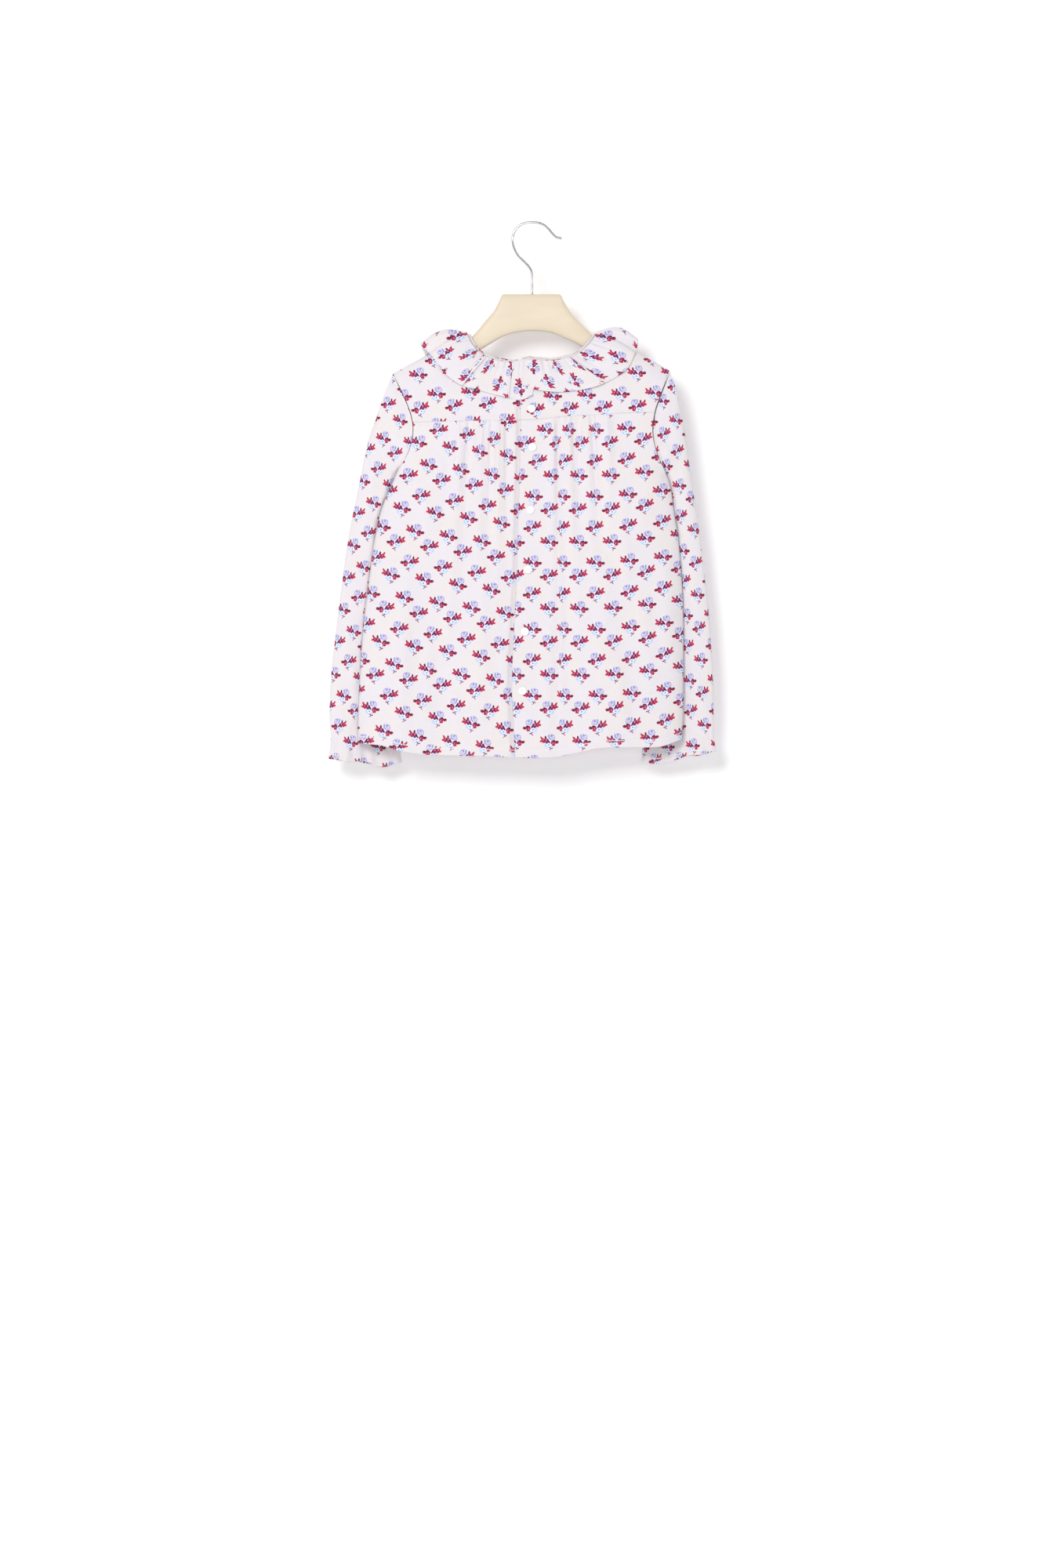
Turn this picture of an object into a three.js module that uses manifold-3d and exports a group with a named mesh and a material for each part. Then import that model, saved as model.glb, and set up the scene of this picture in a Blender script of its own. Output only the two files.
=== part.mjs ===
// A child's long-sleeved blouse hanging on a padded-shape hanger, seen from its buttoned back.
// Millimetres, +Z up. The origin is the inside top of the hook's crown, on the shank's axis.
// The garment's back (buttons, back yokes) faces -Y and its front faces +Y.
import * as THREE from 'three';
import { mergeVertices } from 'three/addons/utils/BufferGeometryUtils.js';
import Module from 'manifold-3d';

const wasm = await Module();
wasm.setup();

// Sizes that drive the shape.
const CLOTH = 1.2;            // wall of every cut piece
const SEAM = 0.2;             // half of the gap left at a seam
const UNDERARM_Z = -318;      // height of both underarm points
const SIDE_ROUND = 60;        // distance over which the body rounds in to its side seam
const SHOULDER_ROUND = 26;    // the same below the shoulder seam
const LAP_UNDER = 8;          // x of the covered edge of the left back
const LAP_DROP = 2.1;         // how far the left back lies under the right one
const SLEEVE_CLEAR = 4.2;     // air between a sleeve and the front it hangs against
const RIM = 3;                // height of the neck binding
const NECK_MIDDLE_Z = -120;   // height that the binding leans towards, above the middle of the neck
const BUTTON_D = 10.3;
const BUTTON_T = 2.3;
const WIRE_D = 2.8;

const BACK = -1;
const FRONT = 1;

// Small helpers.
const lerp = (a, b, t) => a + (b - a) * t;
const clamp = (t, lo = 0, hi = 1) => Math.min(hi, Math.max(lo, t));
const smooth = (t) => { const c = clamp(t); return c * c * (3 - 2 * c); };
const dome = (t) => Math.sqrt(Math.max(0, 1 - (1 - clamp(t)) ** 2));
const radians = (degrees) => degrees * Math.PI / 180;

// Rows are sorted by `key`; the column is joined by a curve with no overshoot.
function column(rows, key, name, at) {
  const last = rows.length - 1;
  if (at <= rows[0][key]) return rows[0][name];
  if (at >= rows[last][key]) return rows[last][name];
  let i = 0;
  while (rows[i + 1][key] < at) i += 1;
  const slope = (k) => (rows[k + 1][name] - rows[k][name]) / (rows[k + 1][key] - rows[k][key]);
  const tangent = (k) => {
    if (k === 0) return slope(0);
    if (k === last) return slope(last - 1);
    const a = slope(k - 1);
    const b = slope(k);
    return a * b <= 0 ? 0 : 2 * a * b / (a + b);
  };
  const span = rows[i + 1][key] - rows[i][key];
  const t = (at - rows[i][key]) / span;
  const t2 = t * t;
  const t3 = t2 * t;
  return (2 * t3 - 3 * t2 + 1) * rows[i][name] + (t3 - 2 * t2 + t) * span * tangent(i)
    + (3 * t2 - 2 * t3) * rows[i + 1][name] + (t3 - t2) * span * tangent(i + 1);
}

const even = (count) => Array.from({ length: count + 1 }, (_, k) => k / count);

// Outline of the body.
// Shoulder seam and its continuation over the neck: x, z of the ridge.
const SHOULDER = [
  { x: -176.5, z: -191 }, { x: -153, z: -178 }, { x: -82, z: -141 }, { x: 0, z: -108 },
  { x: 81, z: -140.5 }, { x: 153, z: -175 }, { x: 174.5, z: -187.5 },
];

// Side edges below the underarm: left and right x by height.
const SIDES = [
  { z: -682, left: -223, right: 190 }, { z: -652, left: -223, right: 191.5 },
  { z: -615, left: -222, right: 193 }, { z: -515, left: -216, right: 193 },
  { z: -459, left: -209, right: 191 }, { z: -407, left: -202, right: 187 },
  { z: -366, left: -193, right: 181 }, { z: -334, left: -180, right: 176 },
  { z: UNDERARM_Z, left: -173, right: 170.5 },
];

// Armholes: shoulder point, underarm point and how far the seam bows towards the body.
const ARMHOLE = {
  left: { topX: -176.5, topZ: -191, lowX: -173, bowBack: 23, bowFront: 27 },
  right: { topX: 174.5, topZ: -187.5, lowX: 170.5, bowBack: -19, bowFront: -24 },
};

const ARM_DEPTH = 9.5;        // half depth of the armhole, back or front
const ARM_CLOSE = 12;

// Half depth of the body by height, back and front.
const DEPTH = [
  { z: -682, back: 21, front: 13 }, { z: -560, back: 19, front: 12 },
  { z: -420, back: 16.5, front: 11 }, { z: -318, back: 14.5, front: 10.5 },
  { z: -250, back: 13, front: 10.5 }, { z: -171, back: 11, front: 10.5 },
  { z: -120, back: 10.5, front: 10.5 },
];

// Hem of the back and front.
const HEM = [
  { x: -223, z: -663 }, { x: -192, z: -666 }, { x: -169, z: -673 }, { x: -131, z: -678 },
  { x: -88, z: -679 }, { x: -27, z: -681 }, { x: 8, z: -682 }, { x: 28, z: -681 },
  { x: 49, z: -677 }, { x: 95, z: -669 }, { x: 158, z: -668 }, { x: 191, z: -658 },
];

// Neck edge of the back yokes, below the binding, and of the front.
const NECK_BACK = [
  { x: -82, z: -141.5 }, { x: -77, z: -153 }, { x: -68, z: -164 }, { x: -56, z: -171 },
  { x: -40, z: -175 }, { x: -23, z: -177 }, { x: -7, z: -173 }, { x: 11, z: -174 },
  { x: 25, z: -175 }, { x: 39, z: -172 }, { x: 55, z: -168 }, { x: 68, z: -158 },
  { x: 76, z: -149 }, { x: 81, z: -141 },
];
const NECK_FRONT = [
  { x: -82, z: -141.5 }, { x: -78, z: -156 }, { x: -68, z: -174 }, { x: -50, z: -191 },
  { x: -26, z: -201 }, { x: 0, z: -204 }, { x: 26, z: -201 }, { x: 50, z: -191 },
  { x: 68, z: -174 }, { x: 77, z: -155 }, { x: 81, z: -141 },
];

// Yoke seam of the back.
const YOKE_SEAM = [
  { x: -176, z: -255 }, { x: -150, z: -254 }, { x: -15, z: -251.5 }, { x: 8, z: -250.5 },
  { x: 28, z: -248 }, { x: 59, z: -246 }, { x: 77, z: -245 }, { x: 124, z: -242 },
  { x: 174, z: -241.5 },
];

// Edge of the lap that carries the buttonholes.
const LAP = [
  { z: -682, x: -22 }, { z: -635, x: -24 }, { z: -590, x: -26 }, { z: -512, x: -23 },
  { z: -451, x: -20 }, { z: -376, x: -18 }, { z: -307, x: -16 }, { z: -250, x: -15 },
  { z: -165, x: -16.5 },
];

// Gathers set into the yoke seam: place along the seam, half width, height, drift in x by 100 mm
// of fall and the fall over which each one dies out.
const GATHERS = [
  { x: -104, wide: 6, high: -2.2, drift: -7, fall: 120 },
  { x: -92, wide: 5, high: 2.8, drift: -6, fall: 170 },
  { x: -78, wide: 4.5, high: -2.4, drift: -5, fall: 120 },
  { x: -66, wide: 5.5, high: 2.6, drift: -3, fall: 190 },
  { x: -52, wide: 4.5, high: -2.2, drift: -3, fall: 150 },
  { x: -42, wide: 4.5, high: 2.5, drift: -1, fall: 210 },
  { x: -31, wide: 4, high: -1.6, drift: -1, fall: 120 },
  { x: 25, wide: 4.5, high: 2.4, drift: 1, fall: 230 },
  { x: 34, wide: 4.5, high: -2.6, drift: 2, fall: 240 },
  { x: 45, wide: 5, high: 2.7, drift: 3, fall: 190 },
  { x: 56, wide: 4.5, high: -2.2, drift: 3, fall: 130 },
  { x: 68, wide: 5, high: 2.5, drift: 4, fall: 170 },
  { x: 80, wide: 5, high: -2.2, drift: 5, fall: 120 },
  { x: 92, wide: 5.5, high: 2.3, drift: 6, fall: 150 },
];

// Long soft flutes that the skirt of the blouse falls in.
const FLUTES = [
  { x: -170, wide: 18, high: 2.4 }, { x: -118, wide: 20, high: -2.6 },
  { x: -70, wide: 20, high: 2.2 }, { x: 40, wide: 18, high: -2 },
  { x: 92, wide: 22, high: 2.4 }, { x: 145, wide: 20, high: -2.4 },
];

const ridgeZ = (x) => column(SHOULDER, 'x', 'z', x);
const seamZ = (x) => column(YOKE_SEAM, 'x', 'z', x);
const lapX = (z) => column(LAP, 'z', 'x', z);
const hemZ = (x) => column(HEM, 'x', 'z', x);

// How far down an armhole a height lies: 0 at the shoulder point, 1 at the underarm.
const armFall = (arm, z) => clamp((arm.topZ - z) / (arm.topZ - UNDERARM_Z));

// x of the armhole seam, or of the side seam below it.
function edgeX(side, z, face) {
  if (z <= UNDERARM_Z) return column(SIDES, 'z', side, z);
  const arm = ARMHOLE[side];
  const fall = armFall(arm, z);
  const bow = face === BACK ? arm.bowBack : arm.bowFront;
  return lerp(arm.topX, arm.lowX, fall) + bow * Math.sin(Math.PI * fall ** 1.2);
}

// Half depth at the armhole seam itself, closing to the side seam within ARM_CLOSE below it.
function edgeDepth(side, z) {
  const fall = armFall(ARMHOLE[side], z);
  const open = CLOTH * clamp(1 - (UNDERARM_Z - z) / ARM_CLOSE);
  return SEAM + open + (ARM_DEPTH - CLOTH) * (4 * fall * (1 - fall)) ** 0.42;
}

function gather(x, z) {
  const fall = seamZ(x) - z;
  if (fall < 0) return 0;
  const start = lerp(0.35, 1, smooth(fall / 16));
  return GATHERS.reduce((sum, row) => {
    const across = (x - row.x - row.drift * fall / 100) / (row.wide * (1 + fall / 260));
    return sum + row.high * start * Math.exp(-(across ** 2)) * Math.exp(-((fall / row.fall) ** 2));
  }, 0);
}

function flute(x, z, face) {
  const grow = smooth((-330 - z) / 340);
  const sum = FLUTES.reduce((total, row) => (
    total + row.high * Math.exp(-(((x - row.x * face * -1) / row.wide) ** 2))), 0);
  return grow * sum;
}

// Half depth of the body's outer face at a point of its outline.
function depth(x, z, face) {
  const name = face === BACK ? 'back' : 'front';
  const middle = column(DEPTH, 'z', name, z) + flute(x, z, face);
  const full = face === BACK ? middle + gather(x, z) : middle;
  const side = x < 0 ? 'left' : 'right';
  const inset = x < 0 ? x - edgeX(side, z, face) : edgeX(side, z, face) - x;
  const edge = edgeDepth(side, z);
  const across = lerp(edge, full, dome(inset / SIDE_ROUND));
  return SEAM + (across - SEAM) * dome((ridgeZ(x) - z) / SHOULDER_ROUND);
}

// Cloth walls.
// A wall from a grid of outer points: the inner points lie one thickness in along the normal.
// `at(u, v)` gives the outer point; `turn` is 1 or -1 so that the normal faces outward.
// `face` keeps the inner points of a body panel on its own side of the garment's middle plane.
function wall(name, us, vs, at, turn, material, options = {}) {
  const { closed = false, face = 0 } = options;
  const step = 1e-4;
  const columns = closed ? us.length - 1 : us.length;
  const point = (u, v) => new THREE.Vector3(...at(u, v));
  const outer = [];
  const inner = [];
  for (const v of vs) {
    for (let i = 0; i < columns; i += 1) {
      const u = us[i];
      const here = point(u, v);
      const alongU = closed
        ? point((u + step) % 1, v).sub(point((u + 1 - step) % 1, v))
        : point(Math.min(1, u + step), v).sub(point(Math.max(0, u - step), v));
      const alongV = point(u, Math.min(1, v + step)).sub(point(u, Math.max(0, v - step)));
      const normal = alongU.cross(alongV).multiplyScalar(turn).normalize();
      const under = here.clone().addScaledVector(normal, -CLOTH);
      if (face) under.y = face * Math.max(face * under.y, SEAM * 0.8);
      outer.push(here);
      inner.push(under);
    }
  }
  const count = outer.length;
  const positions = [...outer, ...inner].flatMap((p) => [p.x, p.y, p.z]);
  const faces = [];
  const quad = (a, b, c, d) => {
    if (turn > 0) faces.push(a, b, c, a, c, d);
    else faces.push(a, c, b, a, d, c);
  };
  const index = (i, j) => j * columns + (i % columns);
  const rows = vs.length - 1;
  const across = closed ? columns : columns - 1;
  for (let j = 0; j < rows; j += 1) {
    for (let i = 0; i < across; i += 1) {
      const [a, b, c, d] = [index(i, j), index(i + 1, j), index(i + 1, j + 1), index(i, j + 1)];
      quad(a, b, c, d);
      quad(count + d, count + c, count + b, count + a);
    }
  }
  for (let i = 0; i < across; i += 1) {
    quad(index(i + 1, 0), index(i, 0), count + index(i, 0), count + index(i + 1, 0));
    quad(index(i, rows), index(i + 1, rows), count + index(i + 1, rows), count + index(i, rows));
  }
  if (!closed) {
    for (let j = 0; j < rows; j += 1) {
      quad(index(0, j), index(0, j + 1), count + index(0, j + 1), count + index(0, j));
      quad(index(across, j + 1), index(across, j), count + index(across, j),
        count + index(across, j + 1));
    }
  }
  return solid(name, positions, faces, material);
}

function solid(name, positions, faces, material) {
  const geometry = new THREE.BufferGeometry();
  geometry.setAttribute('position', new THREE.Float32BufferAttribute(positions, 3));
  geometry.setIndex(faces);
  geometry.computeVertexNormals();
  const mesh = new THREE.Mesh(geometry, material);
  mesh.name = name;
  return mesh;
}

const cloth = () => new THREE.MeshStandardMaterial({ color: 0xefe9e9, roughness: 0.85 });
const pearl = () => new THREE.MeshStandardMaterial({ color: 0xf4f2f2, roughness: 0.3 });
const cream = () => new THREE.MeshStandardMaterial({ color: 0xeee0c9, roughness: 0.45 });
const steel = () => new THREE.MeshStandardMaterial({ color: 0xc9ccd0, roughness: 0.2, metalness: 1 });

// Body panels.
// The right back laps over the left one, which sinks below it towards its covered edge.
function backDepth(side, x, z) {
  if (side === 'right') return depth(x, z, BACK);
  return depth(x, z, BACK) - LAP_DROP * smooth((x - lapX(z) + 11) / 9);
}

// x of a back panel's edge at the centre.
const centreX = (side, z) => (side === 'left' ? LAP_UNDER : lapX(z));

// Across a back panel: from the armhole or side seam (0) to the centre edge (1).
function backPoint(side, s, z) {
  const x = lerp(edgeX(side, z, BACK), centreX(side, z), s);
  return [x, -backDepth(side, x, z), z];
}

function backPanel(side) {
  const columns = side === 'left'
    ? [0, 0.015, 0.05, 0.11, 0.19, 0.27, 0.33, 0.365, 0.395, 0.425, 0.455, 0.485, 0.515, 0.545, 0.575,
      0.605, 0.635, 0.665, 0.695, 0.725, 0.755, 0.785, 0.82, 0.855, 0.875, 0.89, 0.92, 1]
    : [0, 0.015, 0.05, 0.11, 0.19, 0.27, 0.35, 0.4, 0.435, 0.47, 0.5, 0.53, 0.56, 0.585, 0.61, 0.635,
      0.66, 0.685, 0.71, 0.735, 0.76, 0.785, 0.81, 0.86, 0.93, 1];
  const foot = (s) => lerp(edgeX(side, -665, BACK), centreX(side, -665), s);
  const low = (seamZ(ARMHOLE[side].topX) - UNDERARM_Z) / (seamZ(ARMHOLE[side].topX) - hemZ(foot(0)));
  const rows = [
    ...[0, 0.12, 0.28, 0.46, 0.64, 0.8, 0.92].map((t) => t * low),
    ...[0, 0.025, 0.07, 0.14, 0.24, 0.38, 0.54, 0.7, 0.86, 1].map((t) => lerp(low, 1, t)),
  ];
  const guess = (s) => lerp(ARMHOLE[side].topX * 0.87, centreX(side, -250), s);
  const at = (s, v) => backPoint(side, s, lerp(seamZ(guess(s)) - SEAM, hemZ(foot(s)), v));
  return wall(`back_${side}`, columns, rows, at, side === 'left' ? -1 : 1, cloth(), { face: BACK });
}

function backYoke(side) {
  const neck = (ARMHOLE[side].topX < 0 ? -82 : 81);
  const end = centreX(side, -171);
  const turnAt = (neck - ARMHOLE[side].topX) / (end - ARMHOLE[side].topX);
  const columns = [
    ...[0, 0.12, 0.3, 0.5, 0.7, 0.86].map((t) => t * turnAt),
    ...[0, 0.03, 0.08, 0.15, 0.24, 0.34, 0.46, 0.58, 0.7, 0.82, 0.9, 1].map((t) => lerp(turnAt, 1, t)),
  ];
  const rows = [0, 0.015, 0.05, 0.11, 0.2, 0.34, 0.5, 0.67, 0.84, 1];
  const at = (s, v) => {
    const topX = lerp(ARMHOLE[side].topX, end, s);
    const outside = side === 'left' ? topX < neck : topX > neck;
    const top = outside ? ridgeZ(topX) : column(NECK_BACK, 'x', 'z', topX);
    const guess = lerp(ARMHOLE[side].topX * 0.87, centreX(side, -250), s);
    return backPoint(side, s, lerp(top, seamZ(guess) + SEAM, v));
  };
  return wall(`yoke_${side}`, columns, rows, at, side === 'left' ? -1 : 1, cloth(), { face: BACK });
}

function frontPanel() {
  const { left, right } = ARMHOLE;
  const share = (x) => (x - left.topX) / (right.topX - left.topX);
  const neck = [-82, -80.5, -76, -68, -59, -48, -36, -24, -12, 0, 12, 24, 36, 48, 59, 68, 75.5, 79.5, 81];
  const columns = [
    ...[0, 0.012, 0.035, 0.08, 0.14, 0.21], ...neck.map(share), ...[0.79, 0.86, 0.92, 0.965, 0.988, 1],
  ];
  const rows = [0, 0.004, 0.012, 0.03, 0.06, 0.1, 0.14, 0.18, 0.215, 0.24, 0.258, 0.272, 0.29, 0.34, 0.42,
    0.54, 0.7, 0.86, 1];
  const at = (s, v) => {
    const topX = lerp(left.topX, right.topX, s);
    const within = topX > -82 && topX < 81;
    const top = within ? column(NECK_FRONT, 'x', 'z', topX) : ridgeZ(topX);
    const foot = lerp(SIDES[0].left, SIDES[0].right, s);
    const z = lerp(top, hemZ(foot), v);
    const x = lerp(edgeX('left', z, FRONT), edgeX('right', z, FRONT), s);
    return [x, depth(x, z, FRONT), z];
  };
  return wall('front', columns, rows, at, 1, cloth(), { face: FRONT });
}

// Sleeves.
// Each row is a ring of the sleeve: its outer edge point, its inner edge point, how far towards
// +Y each hangs, and its half depth.
const SLEEVES = {
  left: [
    { t: 0, ox: -177.2, oz: -191.3, ix: -173.8, iz: -318.9, oy: 0, iy: 0, deep: 9.5 },
    { t: 0.03, ox: -183, oz: -205, ix: -181, iz: -333, oy: 0, iy: 3, deep: 10 },
    { t: 0.062, ox: -189, oz: -219, ix: -182, iz: -350, oy: 0, iy: 7.5, deep: 10.5 },
    { t: 0.12, ox: -199, oz: -248, ix: -172, iz: -370, oy: 1, iy: 15, deep: 11 },
    { t: 0.18, ox: -209, oz: -277, ix: -162, iz: -391, oy: 2, iy: 19, deep: 11 },
    { t: 0.31, ox: -222, oz: -338, ix: -156, iz: -430, oy: 4, iy: 22, deep: 11 },
    { t: 0.43, ox: -234, oz: -397, ix: -156, iz: -472, oy: 6, iy: 23, deep: 10.5 },
    { t: 0.56, ox: -243, oz: -459, ix: -158, iz: -517, oy: 7, iy: 23, deep: 10 },
    { t: 0.67, ox: -250, oz: -515, ix: -161, iz: -557, oy: 8, iy: 23, deep: 9.5 },
    { t: 0.8, ox: -257, oz: -579, ix: -165, iz: -603, oy: 9, iy: 24, deep: 9 },
    { t: 0.9, ox: -259, oz: -628, ix: -168, iz: -638, oy: 10, iy: 24, deep: 9 },
    { t: 0.95, ox: -257.5, oz: -656, ix: -170, iz: -659, oy: 10, iy: 24, deep: 8 },
    { t: 1, ox: -260, oz: -683, ix: -166.5, iz: -687, oy: 9, iy: 26, deep: 10 },
  ],
  right: [
    { t: 0, ox: 175.7, oz: -188, ix: 171.3, iz: -318.9, oy: 0, iy: 0, deep: 9.5 },
    { t: 0.03, ox: 179, oz: -199, ix: 177.5, iz: -332, oy: 0, iy: 3, deep: 10 },
    { t: 0.062, ox: 183.5, oz: -213, ix: 176, iz: -349, oy: 0, iy: 7.5, deep: 10.5 },
    { t: 0.12, ox: 190, oz: -241, ix: 166, iz: -369, oy: 1, iy: 15, deep: 11 },
    { t: 0.18, ox: 195, oz: -270, ix: 156, iz: -390, oy: 2, iy: 19, deep: 11 },
    { t: 0.31, ox: 204, oz: -333, ix: 148, iz: -430, oy: 4, iy: 22, deep: 11 },
    { t: 0.43, ox: 213, oz: -392, ix: 144, iz: -472, oy: 6, iy: 23, deep: 10.5 },
    { t: 0.56, ox: 220.5, oz: -455, ix: 141, iz: -517, oy: 7, iy: 23, deep: 10 },
    { t: 0.67, ox: 226.5, oz: -512, ix: 139, iz: -557, oy: 8, iy: 23, deep: 9.5 },
    { t: 0.8, ox: 230.5, oz: -577, ix: 139, iz: -603, oy: 9, iy: 24, deep: 9 },
    { t: 0.9, ox: 231.5, oz: -625, ix: 140, iz: -638, oy: 10, iy: 24, deep: 9 },
    { t: 0.95, ox: 231.5, oz: -650, ix: 142, iz: -656, oy: 10, iy: 24, deep: 8 },
    { t: 1, ox: 235, oz: -673, ix: 139.5, iz: -686, oy: 9, iy: 26, deep: 10 },
  ],
};

const CUFF_WAVES = 7;         // flutes of the frilled sleeve end

// The furthest x towards the body that keeps a sleeve off the armhole and the side seam's top.
function sleeveLimit(side, x, z, face) {
  const way = side === 'left' ? 1 : -1;
  const gap = 1.2 + 1.6 * smooth(armFall(ARMHOLE[side], z) * 1.4);
  const relaxed = Math.max(0, UNDERARM_Z - 9 - z);
  return way * Math.min(way * x, way * edgeX(side, z, face) - gap + relaxed);
}

// The least y that keeps a sleeve off the front panel, falling away outside the body's edge.
function sleeveFloor(side, x, z) {
  const edge = edgeX(side, Math.min(z, UNDERARM_Z), FRONT);
  const outside = side === 'left' ? edge - x : x - edge;
  const above = 1.5 * Math.max(0, z - UNDERARM_Z);
  const reach = outside > 0 ? SEAM - 1.1 * outside : depth(x, Math.min(z, UNDERARM_Z), FRONT);
  return reach + SLEEVE_CLEAR - above;
}

function sleevePoint(side, turn, t) {
  const rows = SLEEVES[side];
  const get = (name) => column(rows, 't', name, t);
  const angle = 2 * Math.PI * turn;
  const across = (1 - Math.cos(angle)) / 2;
  const face = turn < 0.5 ? BACK : FRONT;
  const arm = ARMHOLE[side];
  const bow = (face === BACK ? arm.bowBack : arm.bowFront) * (1 - smooth(t / 0.16));
  const free = lerp(get('ox'), get('ix'), across) + bow * Math.sin(Math.PI * across ** 1.2);
  const wave = smooth((t - 0.93) / 0.07);
  const cuff = Math.sin(angle * CUFF_WAVES + (side === 'left' ? 0.6 : 2.1));
  const z = lerp(get('oz'), get('iz'), across) - wave * 4 * Math.sin(Math.PI * across) * (0.6 + 0.4 * cuff);
  const x = sleeveLimit(side, free, z, face);
  const hang = lerp(get('oy'), get('iy'), across);
  const lens = get('deep') * Math.abs(Math.sin(angle)) ** 0.85;
  const seamDepth = depth(x, z, face);
  const blend = smooth(t / 0.14);
  const half = lerp(seamDepth, lens, blend) + 2.2 * wave * cuff * Math.abs(Math.sin(angle));
  const y = hang + face * half;
  if (t < 0.012) return [x, y, z];
  const floor = sleeveFloor(side, x, z);
  if (face === BACK) return [x, Math.max(y, lerp(y, floor, smooth(t / 0.016))), z];
  return [x, Math.max(y, floor + 3 * Math.abs(Math.sin(angle)) ** 0.6), z];
}

function sleeve(side) {
  const around = Array.from({ length: 29 }, (_, k) => k / 28);
  const rings = [0, 0.015, 0.032, 0.048, 0.065, 0.09, 0.13, 0.19, 0.28, 0.38, 0.5, 0.62, 0.74, 0.85,
    0.91, 0.945, 0.965, 1];
  const at = (u, v) => sleevePoint(side, u, v);
  return wall(`sleeve_${side}`, around, rings, at, side === 'left' ? -1 : 1, cloth(), { closed: true });
}

// Collar frill and neck binding.
// Stations round the neck, from the covered end at the centre back over the left shoulder, the
// front and the right shoulder to the lapping end. n: neck edge. e: free edge. psi: 0 or 360 on
// the back, 90 and 270 on the shoulders, 180 on the front. off, out: how far the neck edge and
// the free edge stand off the body. roll: rise of the frill between them.
const FRILL = [
  { nx: 3, nz: -173, ex: 1, ez: -221, psi: 0, off: 3.2, out: 3.6, roll: 0.6 },
  { nx: -14, nz: -174.5, ex: -17, ez: -226, psi: 0, off: 2.6, out: 4.6, roll: 1 },
  { nx: -30, nz: -177, ex: -38, ez: -221.5, psi: 0, off: 1.8, out: 5, roll: 1.5 },
  { nx: -45, nz: -175, ex: -62, ez: -215.5, psi: 0, off: 1.8, out: 6, roll: 2 },
  { nx: -58, nz: -170.5, ex: -88, ez: -208.5, psi: 0, off: 1.8, out: 9, roll: 3 },
  { nx: -69, nz: -164, ex: -112, ez: -192, psi: 4, off: 1.8, out: 5, roll: 4 },
  { nx: -78, nz: -152, ex: -128, ez: -170, psi: 10, off: 1.9, out: 8, roll: 6 },
  { nx: -81.4, nz: -145, ex: -136, ez: -162.5, psi: 22, off: 2.4, out: 9, roll: 9 },
  { nx: -83.5, nz: -139.5, ex: -143, ez: -156.5, psi: 90, off: 2, out: 8, roll: 11 },
  { nx: -81, nz: -146.5, ex: -138, ez: -166, psi: 158, off: 2.4, out: 9, roll: 9 },
  { nx: -78.5, nz: -156, ex: -128, ez: -183, psi: 170, off: 1.9, out: 8, roll: 6 },
  { nx: -69, nz: -174.5, ex: -109, ez: -213, psi: 176, off: 1.8, out: 6, roll: 4 },
  { nx: -51, nz: -191.5, ex: -78, ez: -239, psi: 180, off: 1.8, out: 6, roll: 3 },
  { nx: -27, nz: -201.5, ex: -40, ez: -252, psi: 180, off: 1.8, out: 5, roll: 2 },
  { nx: 0, nz: -204.5, ex: 0, ez: -257, psi: 180, off: 1.8, out: 6, roll: 2 },
  { nx: 27, nz: -201.5, ex: 40, ez: -252, psi: 180, off: 1.8, out: 5, roll: 2 },
  { nx: 51, nz: -191.5, ex: 77, ez: -239, psi: 180, off: 1.8, out: 6, roll: 3 },
  { nx: 69, nz: -174.5, ex: 105, ez: -212, psi: 184, off: 1.8, out: 6, roll: 4 },
  { nx: 77.5, nz: -155, ex: 124, ez: -180, psi: 190, off: 1.9, out: 8, roll: 6 },
  { nx: 80, nz: -146, ex: 131, ez: -162, psi: 202, off: 2.4, out: 9, roll: 9 },
  { nx: 82.5, nz: -139, ex: 135, ez: -151.5, psi: 270, off: 2, out: 8, roll: 11 },
  { nx: 79.5, nz: -144.5, ex: 133.5, ez: -159, psi: 338, off: 2.4, out: 9, roll: 9 },
  { nx: 76, nz: -150, ex: 130.5, ez: -168, psi: 350, off: 1.9, out: 8, roll: 6 },
  { nx: 69, nz: -158, ex: 123, ez: -184, psi: 356, off: 1.8, out: 6, roll: 4 },
  { nx: 56, nz: -168.5, ex: 106, ez: -197.5, psi: 360, off: 1.8, out: 7, roll: 3 },
  { nx: 40, nz: -173, ex: 75, ez: -210.5, psi: 360, off: 1.8, out: 6, roll: 2.5 },
  { nx: 24, nz: -175.5, ex: 38, ez: -216, psi: 360, off: 1.8, out: 7.5, roll: 2 },
  { nx: 6, nz: -175, ex: 10, ez: -214, psi: 360, off: 4.8, out: 8.2, roll: 1.2 },
  { nx: -12, nz: -174, ex: -13, ez: -207, psi: 360, off: 5.2, out: 9, roll: 1 },
].map((row, k) => ({ k, ...row }));

const FRILL_FLUTES = 17;      // soft waves round the frill's free edge

// A point off the body along the direction that psi names, over a place in the outline.
function offBody(x, z, psi, off) {
  const turn = Math.cos(radians(psi));
  const reach = depth(x, z, turn > 0 ? BACK : FRONT);
  const square = Math.sign(turn) * Math.abs(turn) ** 0.6;
  return [x, -square * (reach + off), z + Math.abs(Math.sin(radians(psi))) * off * 0.4];
}

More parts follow.
